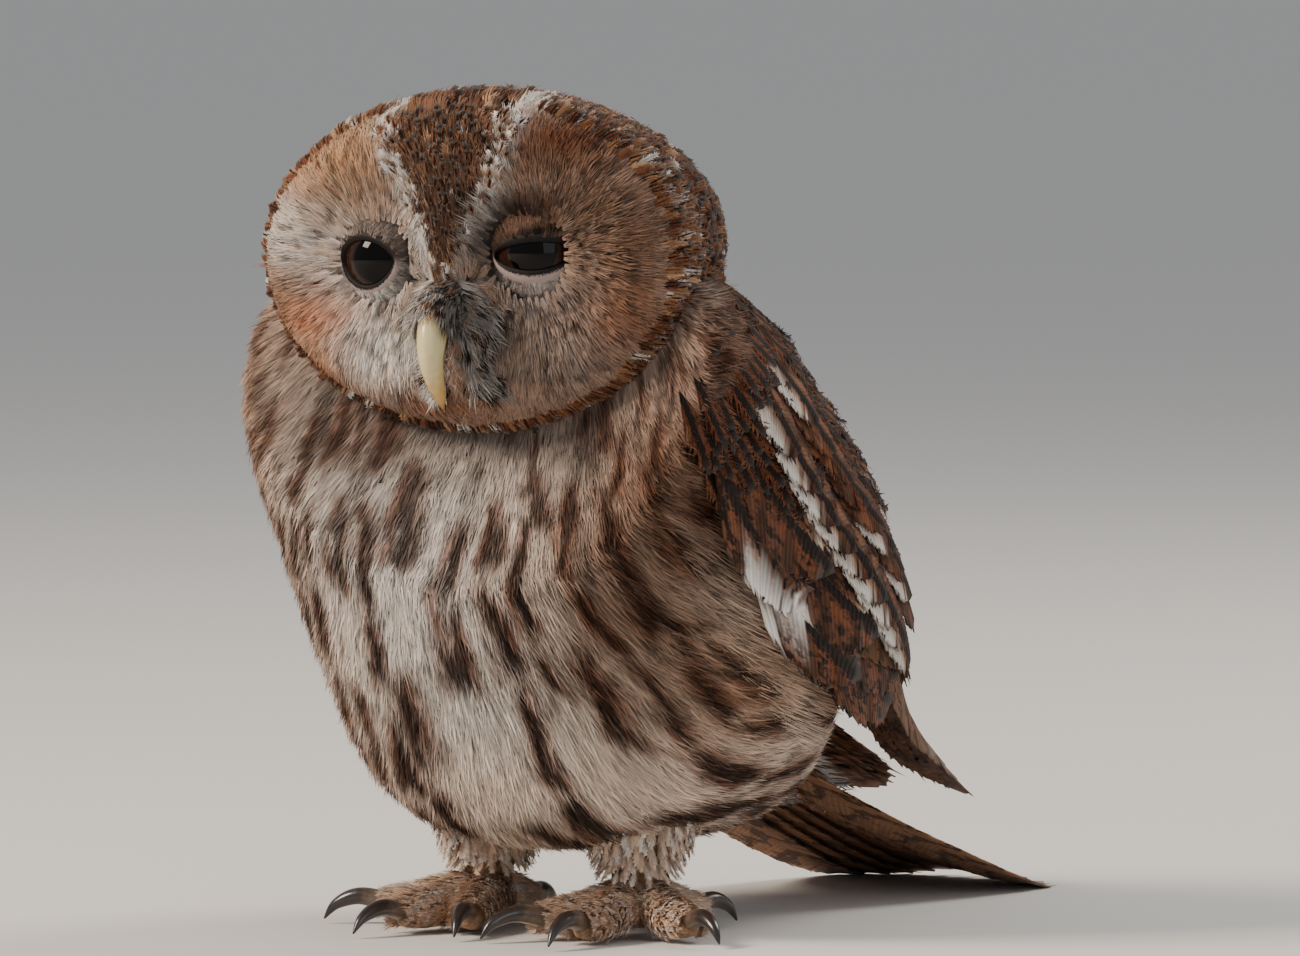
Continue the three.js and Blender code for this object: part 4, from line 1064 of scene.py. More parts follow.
# %% Tones of the breast feathers
def breast_tones(batch, strands, small):
    """Colours for every point of a batch: ground, then rust, then near-black where the pattern says so.
    Each feather, and each strand of it, is a little lighter or darker than the next."""
    t, angle = batch["place"]
    dark, rusty = streaks(t, angle)
    size, count = batch["size"], len(small)
    light = np.repeat(1 + 0.07 * draw.normal(size=count), size)
    if strands > 1:
        light = light * np.repeat(1 + 0.15 * draw.normal(size=count * strands), size // strands)
        uneven = np.repeat(0.18 * draw.normal(size=count * strands), size // strands)
        dark = np.clip(dark + uneven * (dark > 0.08), 0, 1)
    ground = trunk_ground(trunk_at(t, angle, 0 * t)) * np.clip(light, 0.4, 1.5)[:, None]
    fade = 1 - 0.25 * np.repeat(small, size)
    return streaked(ground, dark * fade, rusty * fade)


def breast_roots(row_pitch, pitch, uneven):
    """Roots on the front of the trunk, without those that head or wings hide. Small is 1 at the disc's rim
    and 0 farther down."""
    t, angle = rooted(throated, (0.06, 0.97), (-192 * DEGREES, 12 * DEGREES), row_pitch, pitch, uneven)
    points = throated(t, angle, 0 * t)
    side, forward, up = in_head(points)
    margin = np.where(forward > -20, disc_margin(side, up), 60)
    keep = ~(inside_head(points, 3) | under_wing(t, angle)) & (points[:, 2] > 8) & (margin > -1.5)
    return t[keep], angle[keep], 1 - ease(margin[keep], 2, 34)


def flow_at(angle):
    return 0.85 * np.clip((angle + np.pi / 2) / (np.pi / 2), -1.1, 1.1)


# %% Breast and belly feathers
t, angle, small = breast_roots(7.6, 7.6, 0.22)
breast = plant(throated, t, angle, BREAST, 27 - 15 * small, 8.6 - 4.6 * small, root=-5.5, tip=-0.8,
               heading=flow_at(angle), camber=0.14, loose=0.06)
dress(breast, breast_tones(breast, 1, small), 0, (0.0, 0.1, 0.1), unwrapped(angle, t, (-4, 1), (0, 1)))
layers = {"Breast_feathers": breast}
for name, pitch, long, lift in (("Breast_fluff_under", 3.4, 17, 1.5), ("Breast_fluff_over", 3.1, 12, 2.4)):
    t, angle, small = breast_roots(pitch, pitch, 0.4)
    fluff = plant(throated, t, angle, FLUFF, long - 0.45 * long * small, 3.6 - 1.4 * small, root=-2.0,
                  tip=lift, heading=flow_at(angle) + 0.08 * draw.normal(size=len(t)), loose=0.12)
    tone = breast_tones(fluff, STRANDS, small)
    layers[name] = dress(fluff, tone, 0, (0, 0, 0), unwrapped(angle, t, (-4, 1), (0, 1)))
for name, batch in layers.items():
    coat(name, BODY_PLUMAGE, [batch])

# %% Back
t, angle = rooted(throated, (0.02, 0.97), (-2 * DEGREES, 182 * DEGREES), 5.8, 6.0, uneven=0.36)
points = throated(t, angle, 0 * t)
keep = ~(inside_head(points, 4) | under_wing(t, angle)) & ((t > 0.12) | (points[:, 1] > -10))
t, angle, points = t[keep], angle[keep], points[keep]
back = plant(throated, t, angle, BREAST, 22 - 6 * (1 - ease(t, 0.15, 0.4)), 6.8, root=-5, tip=1.5,
             heading=0.12 * draw.normal(size=len(t)), camber=0.16, loose=0.09)
tone, _ = by_chance(len(t), [0.06, 0.14, 0.3, 0.35, 0.3], trunk_ground(points), 0.4, 0.12)
streak = np.clip(0.3 + 0.1 * draw.normal(size=len(t)), 0.1, 0.6)
dress(back, tone, streak, (0.55, 0.6, 0.05), unwrapped(angle, t, (-1, 4), (0, 1)))
coat("Back_feathers", BODY_PLUMAGE, [back])

# %% [markdown]
# ## Crown and nape
# The head's feathers are small and dense. A chocolate stripe runs back from the bill between two lines of
# white flecks, which join above the bill into a V. The rest is rust and brown, each feather with a dark
# middle. A second, thinner layer of hair-like tips softens the rows.

# %% Crown, cheeks and nape
def crown_dress(batch, side, forward, up, unwrap):
    """Tone, streak and marks for head feathers, by chances for white, buff, tan, rufous and umber. The
    hair-like ones have a tone only."""
    count = len(side)
    stripe = crown_stripe(side, forward, up)
    brow = brow_line(side, up) * ease(forward, -16, 6)
    shares = np.stack([0.03 + 1.6 * brow, 0.15 + 0.3 * brow, 0.25 - 0.2 * stripe, 0.5 - 0.1 * stripe,
                       0.25 + 1.7 * stripe], -1)
    kind = chances(np.clip(shares, 0, None))
    white = kind == 0
    streak = np.where(white, 0.03, np.where(kind == 4, 0.5, 0.22)) + 0.08 * draw.normal(size=count)
    tone = varied(mixed(head_ground(side, forward, up), HEAD_TONES[kind], 0.75), 0.14, count)
    whole = batch["size"] != len(HAIR["along"])
    marks = [whole * np.where(white, *pair) for pair in ((0.1, 0.35), (0.0, 0.4), (0.5, 0.15))]
    return dress(batch, tone, whole * np.clip(streak, 0, 0.6), marks, unwrap)


for hand, name in SIDES:
    middle = 0 if hand > 0 else np.pi
    layers = []
    for shape, row_pitch, pitch, scale in ((CONTOUR, 3.0, 3.2, 1.0), (HAIR, 3.0, 3.0, 0.8)):
        t, angle = rooted(head_at, (0.375, 0.992), (middle - np.pi / 2, middle + np.pi / 2), row_pitch, pitch)
        keep = ~inside_trunk(head_at(t, angle, 0 * t), 3) & (t < 0.9)
        t, angle = t[keep], angle[keep]
        side, forward, up = head_place(t, angle, 0 * t)
        long = scale * (8 + 7 * ease(-forward, 0, 45))
        heading = ease(t, 0.6, 0.86) * (angle - np.pi / 2)
        head = plant(head_at, t, angle, shape, long, scale * (2.6 + 0.12 * long), root=-3 * scale,
                     tip=1.9 - scale, heading=heading, camber=0.2, loose=0.12)
        unwrap = unwrapped(angle, t, (middle - 2, middle + 2), (0, 1))
        layers.append(crown_dress(head, side, forward, up, unwrap))
    coat(f"Head_feathers_{name}", HEAD_PLUMAGE, layers)


def nape_at(down, side, height):
    """The back of the head, where the rings close: a shallow bowl 9 mm deep at the ellipse of its last
    ring."""
    high = np.where(down < 0, 18, 30)
    return head_point(side, -63 - height + 9 * ((side / 35) ** 2 + (down / high) ** 2), -down)


down, side = rooted(nape_at, (-14, 24), (-24, 24), 3.0, 3.2)
keep = ~inside_trunk(nape_at(down, side, 0 * side), 3) & (np.hypot(side / 24, (down - 4) / 22) < 1)
down, side = down[keep], side[keep]
nape = plant(nape_at, down, side, CONTOUR, 14, 4.2, root=-2.6, tip=1.6, camber=0.2, loose=0.12)
crown_dress(nape, side, np.full(len(side), -60.0), -down, unwrapped(side, down, (-120, 120), (-120, 120)))
coat("Nape_feathers", HEAD_PLUMAGE, [nape])

# %% [markdown]
# ## The facial disc
# The disc works like a dish for sound: thin, hair-like feathers radiate from each eye and from the bill to
# a stiff rim. Fans of single hairs give that look better than vanes do. Between the discs a wedge of small
# crown feathers narrows down to the bill.

# %% Disc and forehead
FACE_SPANS = ((-75, 75), (-65, 60))
BILL_ROOT_UP = -9


def wedge(side, up):
    """How far a place is inside the forehead's wedge, in mm: over zero is inside."""
    return np.where(up > BILL_ROOT_UP, 3.6 + 0.4 * np.clip(up + 6, 0, None) - np.abs(side), -5)


def coated_face(side, up, height):
    """The face with a bell 4.2 mm high round each eye's lids, so that the feathers rise to meet them."""
    near = np.minimum(np.hypot(side - EYE_SIDE, up - EYE_UP), np.hypot(side + EYE_SIDE, up - EYE_UP))
    return face_at(side, up, height + 4.2 * np.exp(-(np.clip(near - 10, 0, None) / 6) ** 2))


side, up = rooted(face_at, (-62, 62), (-49, 45), 1.5, 1.5, uneven=0.35)
hand = np.sign(side)
eye_away = np.hypot(side - hand * EYE_SIDE, up - EYE_UP)
bill_away = np.hypot(side, up - BILL_ROOT_UP)
rim = (side / 60.5) ** 2 + (up / np.where(up > 0, 43, 46.5)) ** 2
keep = (rim < 0.98) & (eye_away > 10.2) & (wedge(side, up) < 1.5) & (bill_away > 5)
side, up, hand, eye_away, bill_away, rim = (x[keep] for x in (side, up, hand, eye_away, bill_away, rim))
by_bill = 1.6 * np.exp(-(bill_away / 17) ** 2) * (up < 6)
way_side = (side - hand * EYE_SIDE) / eye_away + by_bill * side / bill_away
way_up = (up - EYE_UP) / eye_away + by_bill * (up - BILL_ROOT_UP) / bill_away
long = np.clip(4.5 + 0.17 * (eye_away - 10), 4.5, 9.5) * (1 - 0.35 * ease(rim, 0.86, 0.98))
disc = plant(coated_face, side, up, HAIR, long, 0.21 * long, root=-1.6, tip=1.3,
             heading=np.arctan2(way_up, way_side), loose=0.18)
_, forward, _ = in_head(face_at(side, up, 0 * side))
tone = mixed(head_ground(side, forward, up), WHITE, 0.8 * brow_line(side, up))
tone = varied(tone, 0.13, len(side))
dark = draw.random(len(side)) < (0.10 + 0.35 * ease(rim, 0.8, 1.0)) * (1 - brow_line(side, up))
tone = np.where(dark[:, None], tone * 0.35, tone)
# painted shade in the crease over the half-closed left eye: the disc's hairs just above its lid go near-black
lid_crease_shade = ease(up - EYE_UP, 0.5, 4) * (1 - ease(side - EYE_SIDE, 5, 10)) * (hand > 0)
tone = mixed(tone, SOOT, 0.9 * lid_crease_shade * (1 - ease(eye_away, 10.8, 12.6)))
face = [dress(disc, tone, 0, (0, 0, 0), unwrapped(side, up, *FACE_SPANS))]

for shape, pitch, scale in ((CONTOUR, 2.0, 1.0), (HAIR, 1.7, 0.85)):
    side, up = rooted(face_at, (-22, 22), (-8, 38), pitch, pitch, uneven=0.5)
    keep = (wedge(side, up) > 0) & ((side / 60) ** 2 + (up / 43) ** 2 < 0.8)
    side, up = side[keep], up[keep]
    heading = np.pi / 2 - 0.03 * side + 0.15 * draw.normal(size=len(side))
    brow = plant(face_at, side, up, shape, 5.6, 1.4 * scale + 0.012 * up, root=-1.5, tip=2.4 - 0.7 * scale,
                 heading=heading, camber=0.2, loose=0.16)
    face.append(crown_dress(brow, side, np.full(len(side), 20.0), up, unwrapped(side, up, *FACE_SPANS)))
coat("Face_feathers", HAIR_PLUMAGE, face)

# %% Rim of the disc
t, angle = rooted(head_at, (0.335, 0.425), (-270 * DEGREES, 90 * DEGREES), 1.7, 1.6, uneven=0.4)
keep = np.abs(np.degrees(angle) + 90) < 158
t, angle = t[keep], angle[keep]
ruff = plant(head_at, t, angle, CONTOUR, 7.5, 1.3, root=-2, tip=1.9, heading=0.12 * draw.normal(size=len(t)),
             camber=0.25, curl=-0.4, loose=0.12)
tone, kind = by_chance(len(t), [0.16, 0.32, 0.45, 0.4, 0.45], WHITE, 0.0, 0.15, HEAD_TONES)
streak = np.clip(np.where(kind == 4, 0.4, 0.14) + 0.08 * draw.normal(size=len(t)), 0, 0.5)
dress(ruff, tone, streak, (0.25, 0.35, 0.2), unwrapped(angle, t, (-5, 2), (0, 1)))
coat("Ruff_feathers", HEAD_PLUMAGE, [ruff])

# %% [markdown]
# ## Wings
# A folded wing shows its feathers in tiers, like shingles: small coverts at the shoulder, then tiers of
# larger ones, and under them the long barred flight feathers, whose tips cross low on the back. These are
# large enough to be made one by one, each with a top, an underside and a shaft ridge. The upper half of the
# wing is covered by the shoulder feathers, some with white outer webs, and by the mantle.

# %% Tiers of wing feathers
def between(ends, share):
    return ends[0] + (ends[1] - ends[0]) * share


def wing_tier(hand, count, shape, roots, root_angles, tips, tip_angles, bow, half, root, tip, lean):
    """From a row of roots to a row of tips, each with its first and last feather's place and angle; the
    middle ones reach further by bow times a half sine, and a vane leans on the next."""
    def place(f, a, c, lift):
        start, end = between(roots, f), between(tips, f) + bow * np.sin(np.pi * f)
        t = start + (end - start) * a
        row = rows_at(BED, t)
        middle = between((between(root_angles, f), between(tip_angles, f)), a)
        angle = middle * DEGREES + 2 * c / (row[..., 2] + row[..., 3])
        height = wing_back(t) + root + (tip - root) * a.clip(0, 1.1) - lean * c + lift
        return ring(BED, t, angle, height, hand)
    return laid(place, count, shape, half)


def cape_at(hand):
    """The surface over the folded wing and on to the middle of the back, where it sinks a little."""
    def place(t, angle, height):
        middle = np.exp(-((np.degrees(angle) - 90) / 20) ** 2)
        edge = ease(np.degrees(angle), -24, 14)
        return ring(BED, t, angle, wing_back(t) * (1 - 0.5 * middle) * (0.05 + 0.95 * edge) + height, hand)
    return place


def in_lanes(batch, first, lanes, wide):
    """The unwrap of large feathers: each has a strip of its own, from its root up."""
    lane = np.repeat(np.arange(len(batch["points"]) // batch["size"]) + first, batch["size"])
    along, across, _ = batch["vane"].T
    return np.stack([(lane + 0.5) / lanes + wide * across, 0.05 + 0.9 * along.clip(0, 1)], -1)


def in_row(count, level):
    """The unwrap of a tier: its roots side by side at one level."""
    return np.stack([0.05 + 0.9 * np.linspace(0, 1, count), np.full(count, level)], -1)


# %% White in the wing
PATCH_MIDDLE, PATCH_RUN, PATCH_ACROSS = (78, -9, 95), (0.10, 0.76, -0.64), (-0.18, -0.61, -0.77)


def white_patch(batch, hand):
    """White and black shares of the large patch near the wing's lower edge, which several feathers share:
    32 mm long, 10 mm wide, and black along its upper side. Its edge is ragged by two sines of the barb."""
    ragged = 0.1 * np.sin(batch["barb"] * 2.1) + 0.08 * np.sin(batch["barb"] * 0.7)
    local = batch["points"] * (hand, 1, 1) - PATCH_MIDDLE
    run, across = local @ PATCH_RUN, local @ PATCH_ACROSS
    ends = ease(run + 4 * ragged, -15, -12) * (1 - ease(run + 0.5 * across + 5 * ragged, 14, 17))
    edge = ends * np.exp(-((across + 9 * ragged + 7.4) / 1.3) ** 2)
    return ends * ease(across + 9 * ragged, -6, -4.6), edge


def paint_webs(batch, hand, ground, white, spans):
    """Tones a point: white is a share a feather, and by it the lower web has a white patch within spans
    (along from, along to, across from), with a ragged edge, a buff border and a dark tip. Gives the share
    of the patch too."""
    size, count = batch["size"], len(white)
    along, across = batch["vane"][:, 0], -hand * batch["vane"][:, 1]
    tone = np.repeat(varied(ground, 0.1, count), size, axis=0)
    start, end, inner = (np.repeat(np.broadcast_to(span, count), size) for span in spans)
    white = np.repeat(white, size)
    ragged = 0.025 * np.sin(batch["barb"] * 2.1)
    ragged = ragged + 0.03 * np.sin(batch["barb"] * 0.9 + 5 * batch["vane"][:, 2])
    jagged = along + ragged
    patch = white * ease(jagged, start, start + 0.1) * (1 - ease(jagged, end, end + 0.07))
    patch = patch * ease(across + 2 * ragged, inner, inner + 0.18)
    border = white * ease(jagged, start - 0.12, start) * ease(across, inner - 0.3, inner)
    tone = mixed(tone, BUFF * 0.8, 0.7 * border * (1 - ease(along, end, end + 0.1)))
    tone = mixed(tone, SOOT, 0.8 * white * ease(jagged, end + 0.02, end + 0.08))
    return mixed(tone, WHITE * 0.9, patch), patch


# %% Flight feathers, coverts and mantle
FLIGHT_TIERS = [  # count, places and angles of roots and tips, bow, half, root, tip, lean; warmth
    (9, (0.5, 0.52), (8, 46), (0.82, 0.97), (24, 76), 0.09, 7.5, -5, -0.5, 0.16, 0.35),
    (11, (0.3, 0.3), (2, 76), (0.6, 0.64), (18, 86), 0.13, 9, -5, 0, 0.12, 0.5)]
COVERT_TIERS = [  # the same, and in the last place the feathers with white and its spans
    (4, (0.33, 0.33), (-3, 12), (0.55, 0.57), (2, 20), 0.0, 8.5, -4.5, -1.5, 0.14, {}),
    (8, (0.19, 0.22), (-5, 46), (0.42, 0.46), (-2, 52), 0.02, 9.5, -4.5, 0, 0.1,
     {2: (0.74, 0.86, 0.68), 4: (0.78, 0.88, 0.62), 5: (0.7, 0.8, 0.7)}),
    (8, (0.1, 0.12), (-4, 42), (0.29, 0.33), (-3, 50), 0.01, 9, -4.0, 0.4, 0.09,
     {2: (0.74, 0.88, 0.6), 3: (0.8, 0.9, 0.65), 5: (0.7, 0.84, 0.6)})]
SHOULDER_TIERS = [  # angle of roots and of tips, half width, chance of white, height of the tips
    (13, 11, 7.5, 1.0, 2.4), (24, 22, 8, 0.25, 3.2)]
SHOULDER_COUNT = 9

for hand, name in SIDES:
    flight = [wing_tier(hand, tier[0], FLIGHT, *tier[1:-1]) for tier in FLIGHT_TIERS]
    first = 0
    for batch, (count, *_, warm) in zip(flight, FLIGHT_TIERS):
        tone = mixed(mixed(TAN, RUFOUS, 0.6 * warm) * 0.62, UMBER, 0.25)
        tone = np.repeat(varied(tone, 0.1, count), batch["size"], axis=0)
        dress(batch, tone, 0, (0.9, 0.2, 0.15), in_lanes(batch, first, 20, 0.02))
        first += count
    coat(f"Flight_feathers_{name}", FLIGHT_PLUMAGE, flight, f"wing_{name}")

    coverts = []
    for count, roots, *tier, whites in COVERT_TIERS:
        batch = wing_tier(hand, count, COVERT, roots, *tier)
        white = np.isin(np.arange(count), list(whites)) * 1.0
        spans = np.array([whites.get(k, (0.7, 0.9, 0.3)) for k in range(count)]).T
        tone, share = paint_webs(batch, hand, mixed(RUFOUS, UMBER, 0.6), white, spans)
        patch, edge = white_patch(batch, hand)
        tone = mixed(mixed(tone, SOOT, 0.9 * edge), WHITE, patch)
        plain = 1 - np.maximum(share, np.maximum(patch, edge))
        coverts.append(dress(batch, tone, 0.22 * plain, (0.6 * plain, 0.95 * plain, 0),
                             in_row(count, 0.2 + 0.2 * roots[0])))
    t, angle = rooted(cape_at(hand), (0.004, 0.2), (-6 * DEGREES, 40 * DEGREES), 5.0, 5.2)
    small = plant(cape_at(hand), t, angle, CONTOUR, 13, 4.6, root=-3.5, tip=1.0, camber=0.14, loose=0.08)
    tone, _ = by_chance(len(t), [0.03, 0.1, 0.25, 0.4, 0.5], RUST * 0.65, 0.7, 0.12)
    coverts.append(dress(small, tone, 0.4, (0.3, 0.7, 0.05), unwrapped(angle, t, (-0.3, 0.9), (0, 1.2))))
    coat(f"Wing_coverts_{name}", COVERT_PLUMAGE, coverts)

    shoulders = []
    for root_angle, tip_angle, half, whites, high in SHOULDER_TIERS:
        count = SHOULDER_COUNT
        batch = wing_tier(hand, count, COVERT, (0.0, 0.36), (root_angle + 3, root_angle + 2), (0.17, 0.56),
                          (tip_angle, tip_angle), 0.0, half, -3.5, high, 0.04)
        white = (draw.random(count) < whites) * draw.uniform(0.75, 1.0, count)
        tone, share = paint_webs(batch, hand, mixed(RUFOUS, UMBER, 0.5), white, (0.34, 0.84, 0.02))
        plain = 1 - share
        shoulders.append(dress(batch, tone, 0.3 * plain, (0.6 * plain, 0.7 * plain, 0),
                               in_row(count, 0.3 + 0.2 * len(shoulders))))
    t, angle = rooted(cape_at(hand), (0.0, 0.78), (30 * DEGREES, 90 * DEGREES), 5.6, 6.0, uneven=0.36)
    keep = t < 0.42 + 0.36 * ease(angle, 50 * DEGREES, 82 * DEGREES) + 0.04 * draw.normal(size=len(t))
    t, angle = t[keep], angle[keep]
    mantle = plant(cape_at(hand), t, angle, BREAST, 21, 6.6, root=-4, tip=1.6, camber=0.14,
                   heading=0.12 * draw.normal(size=len(t)), loose=0.09)
    tone, _ = by_chance(len(t), [0.04, 0.12, 0.3, 0.4, 0.35], RUFOUS, 0.4, 0.12)
    streak = np.clip(0.34 + 0.1 * draw.normal(size=len(t)), 0.1, 0.6)
    unwrap = unwrapped(angle, t, (0, 2.2), (-0.8, 0.6))
    shoulders.append(dress(mantle, tone, streak, (0.5, 0.6, 0.05), unwrap))
    coat(f"Mantle_feathers_{name}", BODY_PLUMAGE, shoulders)

# %% [markdown]
# ## Flanks
# The wing's lower edge is tucked into the long, loose feathers of the flank, which lap over it from below.
# They are rooted under the coverts here and lean outwards over them.

# %% Flank feathers over the wing's edge
for hand, name in SIDES:
    t, angle = rooted(cape_at(hand), (0.14, 0.42), (-20 * DEGREES, -7 * DEGREES), 3.0, 2.8, uneven=0.3)
    lap = plant(cape_at(hand), t, angle, FLUFF, 13, 3.0, root=-9.0, tip=2.4, heading=0.3, loose=0.14)
    count, size = len(t), lap["size"]
    strand = np.repeat(1 + 0.15 * draw.normal(size=count * STRANDS), size // STRANDS)
    tone = mixed(trunk_ground(lap["points"]), RUFOUS * 0.6, 0.6 * ease(lap["points"][:, 2], 92, 122))
    tone = tone * np.clip(strand, 0.4, 1.5)[:, None]
    dark = np.repeat(draw.random(count) < 0.16, size)[:, None]
    dress(lap, np.where(dark, tone * 0.3, tone), 0, (0, 0, 0), unwrapped(angle, t, (-0.5, 0.4), (0, 1)))
    coat(f"Flank_feathers_{name}", BODY_PLUMAGE, [lap])

# %% [markdown]
# ## Tail
# Twelve tail feathers fold over one another, the middle pair on top. They are rusty brown, faintly barred
# in the middle and more strongly to the sides, and short feathers cover their roots above and below.

# %% Tail feathers
TAIL_SPREAD = [0.5, 0.62, 0.78, 0.92, 1, 1]
TAIL_ENDS = [1, 0.995, 0.985, 0.97, 0.95, 0.92]
TAIL_PAIRS = 6


def tail_side(hand):
    def place(f, a, c, lift):
        k = np.round((TAIL_PAIRS - 1) * f)
        t = 0.14 + (rows_at(TAIL_ENDS, f) - 0.14) * a
        across = (3 - 2.2 * (k == 0) + 5.8 * k) * rows_at(TAIL_SPREAD, t) + c
        return tail_at(t, hand * across, lift - 0.9 * k - 0.04 * across)
    return place


rectrices = [laid(tail_side(hand), TAIL_PAIRS, FLIGHT, 10.3, thick=0.6) for hand, _ in SIDES]
for first, batch in zip((0, TAIL_PAIRS), rectrices):
    tone = varied(mixed(RUFOUS, TAN, np.linspace(0.2, 0.8, TAIL_PAIRS)), 0.05, TAIL_PAIRS) * 0.85
    barring = np.linspace(0.3, 0.85, TAIL_PAIRS)
    dress(batch, tone, 0, (barring, 0.25, 0.35), in_lanes(batch, first, 2 * TAIL_PAIRS, 0.035))
coat("Tail_feathers", FLIGHT_PLUMAGE, rectrices, "tail")


# %% Tail coverts
def rump_at(t, across, height):
    """Over the tail's roots, a low arch that falls away to the sides."""
    return tail_at(t, across, height + 5.5 - 3.5 * ease(t, 0.1, 0.5) - 0.012 * across ** 2)


def vent_at(t, across, height):
    """The same from below, with height counted downwards."""
    return tail_at(t, across, -height - 7 + 3 * ease(t, 0.1, 0.5) + 0.012 * across ** 2)


t, across = rooted(rump_at, (0.0, 0.34), (-20, 20), 6, 6)
rump = plant(rump_at, t, across, BREAST, 26, 7.5, root=-3, tip=1.2, camber=0.14)
tone, _ = by_chance(len(t), [0.02, 0.1, 0.4, 0.5, 0.2], WHITE, 0.0, 0.1)
dress(rump, tone, 0.3, (0.4, 0.5, 0.1), unwrapped(across, t, (-25, 25), (0, 1)))
t, across = rooted(vent_at, (0.0, 0.3), (-20, 20), 6, 6)
vent = plant(vent_at, t, across, BREAST, 24, 7.5, root=-3, tip=1.0, camber=0.14)
tone = varied(WHITE * 0.85, 0.08, len(t))
dress(vent, tone, 0.12, (0.15, 0.1, 0.1), unwrapped(across, t, (-25, 25), (-1, 0.6)))
coat("Tail_coverts", BODY_PLUMAGE, [rump, vent])

# %% [markdown]
# ## Legs and feathered toes
# A tawny owl's legs are feathered down to the claws, with short pale feathers, smallest on the toes. The
# same planting serves, on a leg's oval rings and on a tube for each toe.

# %% Leg and toe feathers
for hand, name in SIDES:
    t, angle = rooted(leg_at(hand), (0.02, 0.98), (-np.pi, np.pi), 2.8, 2.7, uneven=0.35)
    keep = ~inside_trunk(leg_at(hand)(t, angle, 0 * t), 5)
    t, angle = t[keep], angle[keep]
    long = 12 - 5 * t
    thigh = plant(leg_at(hand), t, angle, CONTOUR, long, 0.22 * long, root=-4, tip=1.2, camber=0.15,
                  loose=0.16)
    tone, _ = by_chance(len(t), [0.5, 0.5, 0.2, 0.03, 0.0], mixed(WHITE, BUFF, 0.5), 0.65, 0.1)
    batches = [dress(thigh, tone, 0, (0.12, 0.1, 0.2), unwrapped(angle, t, (-3.3, 3.3), (-0.5, 1)))]
    for k, toe in enumerate(TOES):
        surface = toe_at(hand, toe)
        t, angle = rooted(surface, (0.0, 0.97), (-35 * DEGREES, 215 * DEGREES), 1.3, 1.4, uneven=0.4)
        small = plant(surface, t, angle, HAIR, 5.0, 1.2, root=-0.6, tip=0.9,
                      heading=0.15 * draw.normal(size=len(t)), loose=0.18)
        tone, _ = by_chance(len(t), [0.45, 0.6, 0.25, 0.05, 0.0], mixed(WHITE, BUFF, 0.6), 0.6, 0.12)
        batches.append(dress(small, tone, 0, (0.06, 0.1, 0.2), unwrapped(angle, t + k, (-1, 4), (0, 16))))
    coat(f"Leg_feathers_{name}", BODY_PLUMAGE, batches, slot="leg_plumage")

# %% [markdown]
# ## Eyes
# A tawny owl's eye is a large dark ball with a brown iris that is hard to tell from the pupil, and a wet,
# clear front. The ball is one smooth surface here, bulging a little at the front. Iris and pupil are drawn
# in its material by the angle from the way the eye looks, and a clear coat with the cornea's IOR, 1.36 or
# so, gives the wet gleam.

# %% The eye's material
BULGE = 0.25
EYE_RINGS, EYE_SIDES = 65, 96
GAZE_ASIDE = {1: -2 * DEGREES, -1: 22 * DEGREES}
GAZE_UP = 3 * DEGREES


def eye_axes(hand):
    """Three unit vectors of an eye: across, up, and the way it looks."""
    look = HEAD_TURN @ np.array([hand * np.sin(EYE_OUT), -np.cos(EYE_OUT), 0])
    across = np.cross(HEAD_TURN @ np.array([0, 0, 1.0]), look)
    across /= np.linalg.norm(across)
    return np.stack([across, np.cross(look, across), look])


eye_shine, add = new_material("Wet eye, dark brown iris")
gaze = add("Attribute", out="Vector", attribute_name="gaze")
away, _, _ = add("SeparateXYZ", [gaze], out=None)
pupil = add("MapRange", [away, 0.36, 0.40], **SMOOTH)
white_of = add("MapRange", [away, 0.80, 0.9], **SMOOTH)
rays = add("VectorMath", [gaze, (1.5, 9.0, 9.0)], operation="MULTIPLY")
grain = add("TexNoise", {"Vector": rays, "Scale": 1.6, "Detail": 4.0})
iris = add("Mix", {0: grain, 6: opaque("#140a07"), 7: opaque("#352218")}, **COLOURS)
iris = add("Mix", {0: pupil, 6: opaque("#050304"), 7: iris}, **COLOURS)
iris = add("Mix", {0: white_of, 6: iris, 7: opaque("#0a0706")}, **COLOURS)
finish_material(add, {"Base Color": iris, "Roughness": 0.4, "Specular IOR Level": 0.0, "Coat Weight": 0.6,
                      "Coat Roughness": 0.02, "Coat IOR": 1.36})

# %% Eyeballs
for hand, name in SIDES:
    away, turn = around(np.linspace(0, np.pi, EYE_RINGS)[1:-1], EYE_SIDES)
    flat = np.stack([np.sin(away) * np.cos(turn), np.sin(away) * np.sin(turn), np.cos(away)], -1)
    ball = ((EYE_BALL - BULGE + BULGE * np.exp(-(away / 0.6) ** 2))[..., None] * flat).reshape(-1, 3)
    ball = np.concatenate([ball, [[0, 0, EYE_BALL], [0, 0, -EYE_BALL + BULGE]]])
    pupil_way = np.array([np.sin(GAZE_ASIDE[hand]), np.sin(GAZE_UP), np.cos(GAZE_ASIDE[hand])])
    from_pupil = np.arccos(np.clip(ball @ pupil_way / np.linalg.norm(ball, axis=1), -1, 1))
    points = ball @ eye_axes(hand) + EYE_MIDDLE[hand]
    eye = mesh_from(f"Eyeball_{name}", points, outward(points, tube_faces(*away.shape)), eye_shine)
    give(eye, "gaze", "FLOAT_VECTOR", np.c_[from_pupil / (0.5 * np.pi), ball[:, :2] / EYE_BALL])
    hand_over(eye, "eye", f"eye_{name}")
print("eyes look", eye_axes(1)[2].round(2), eye_axes(-1)[2].round(2))

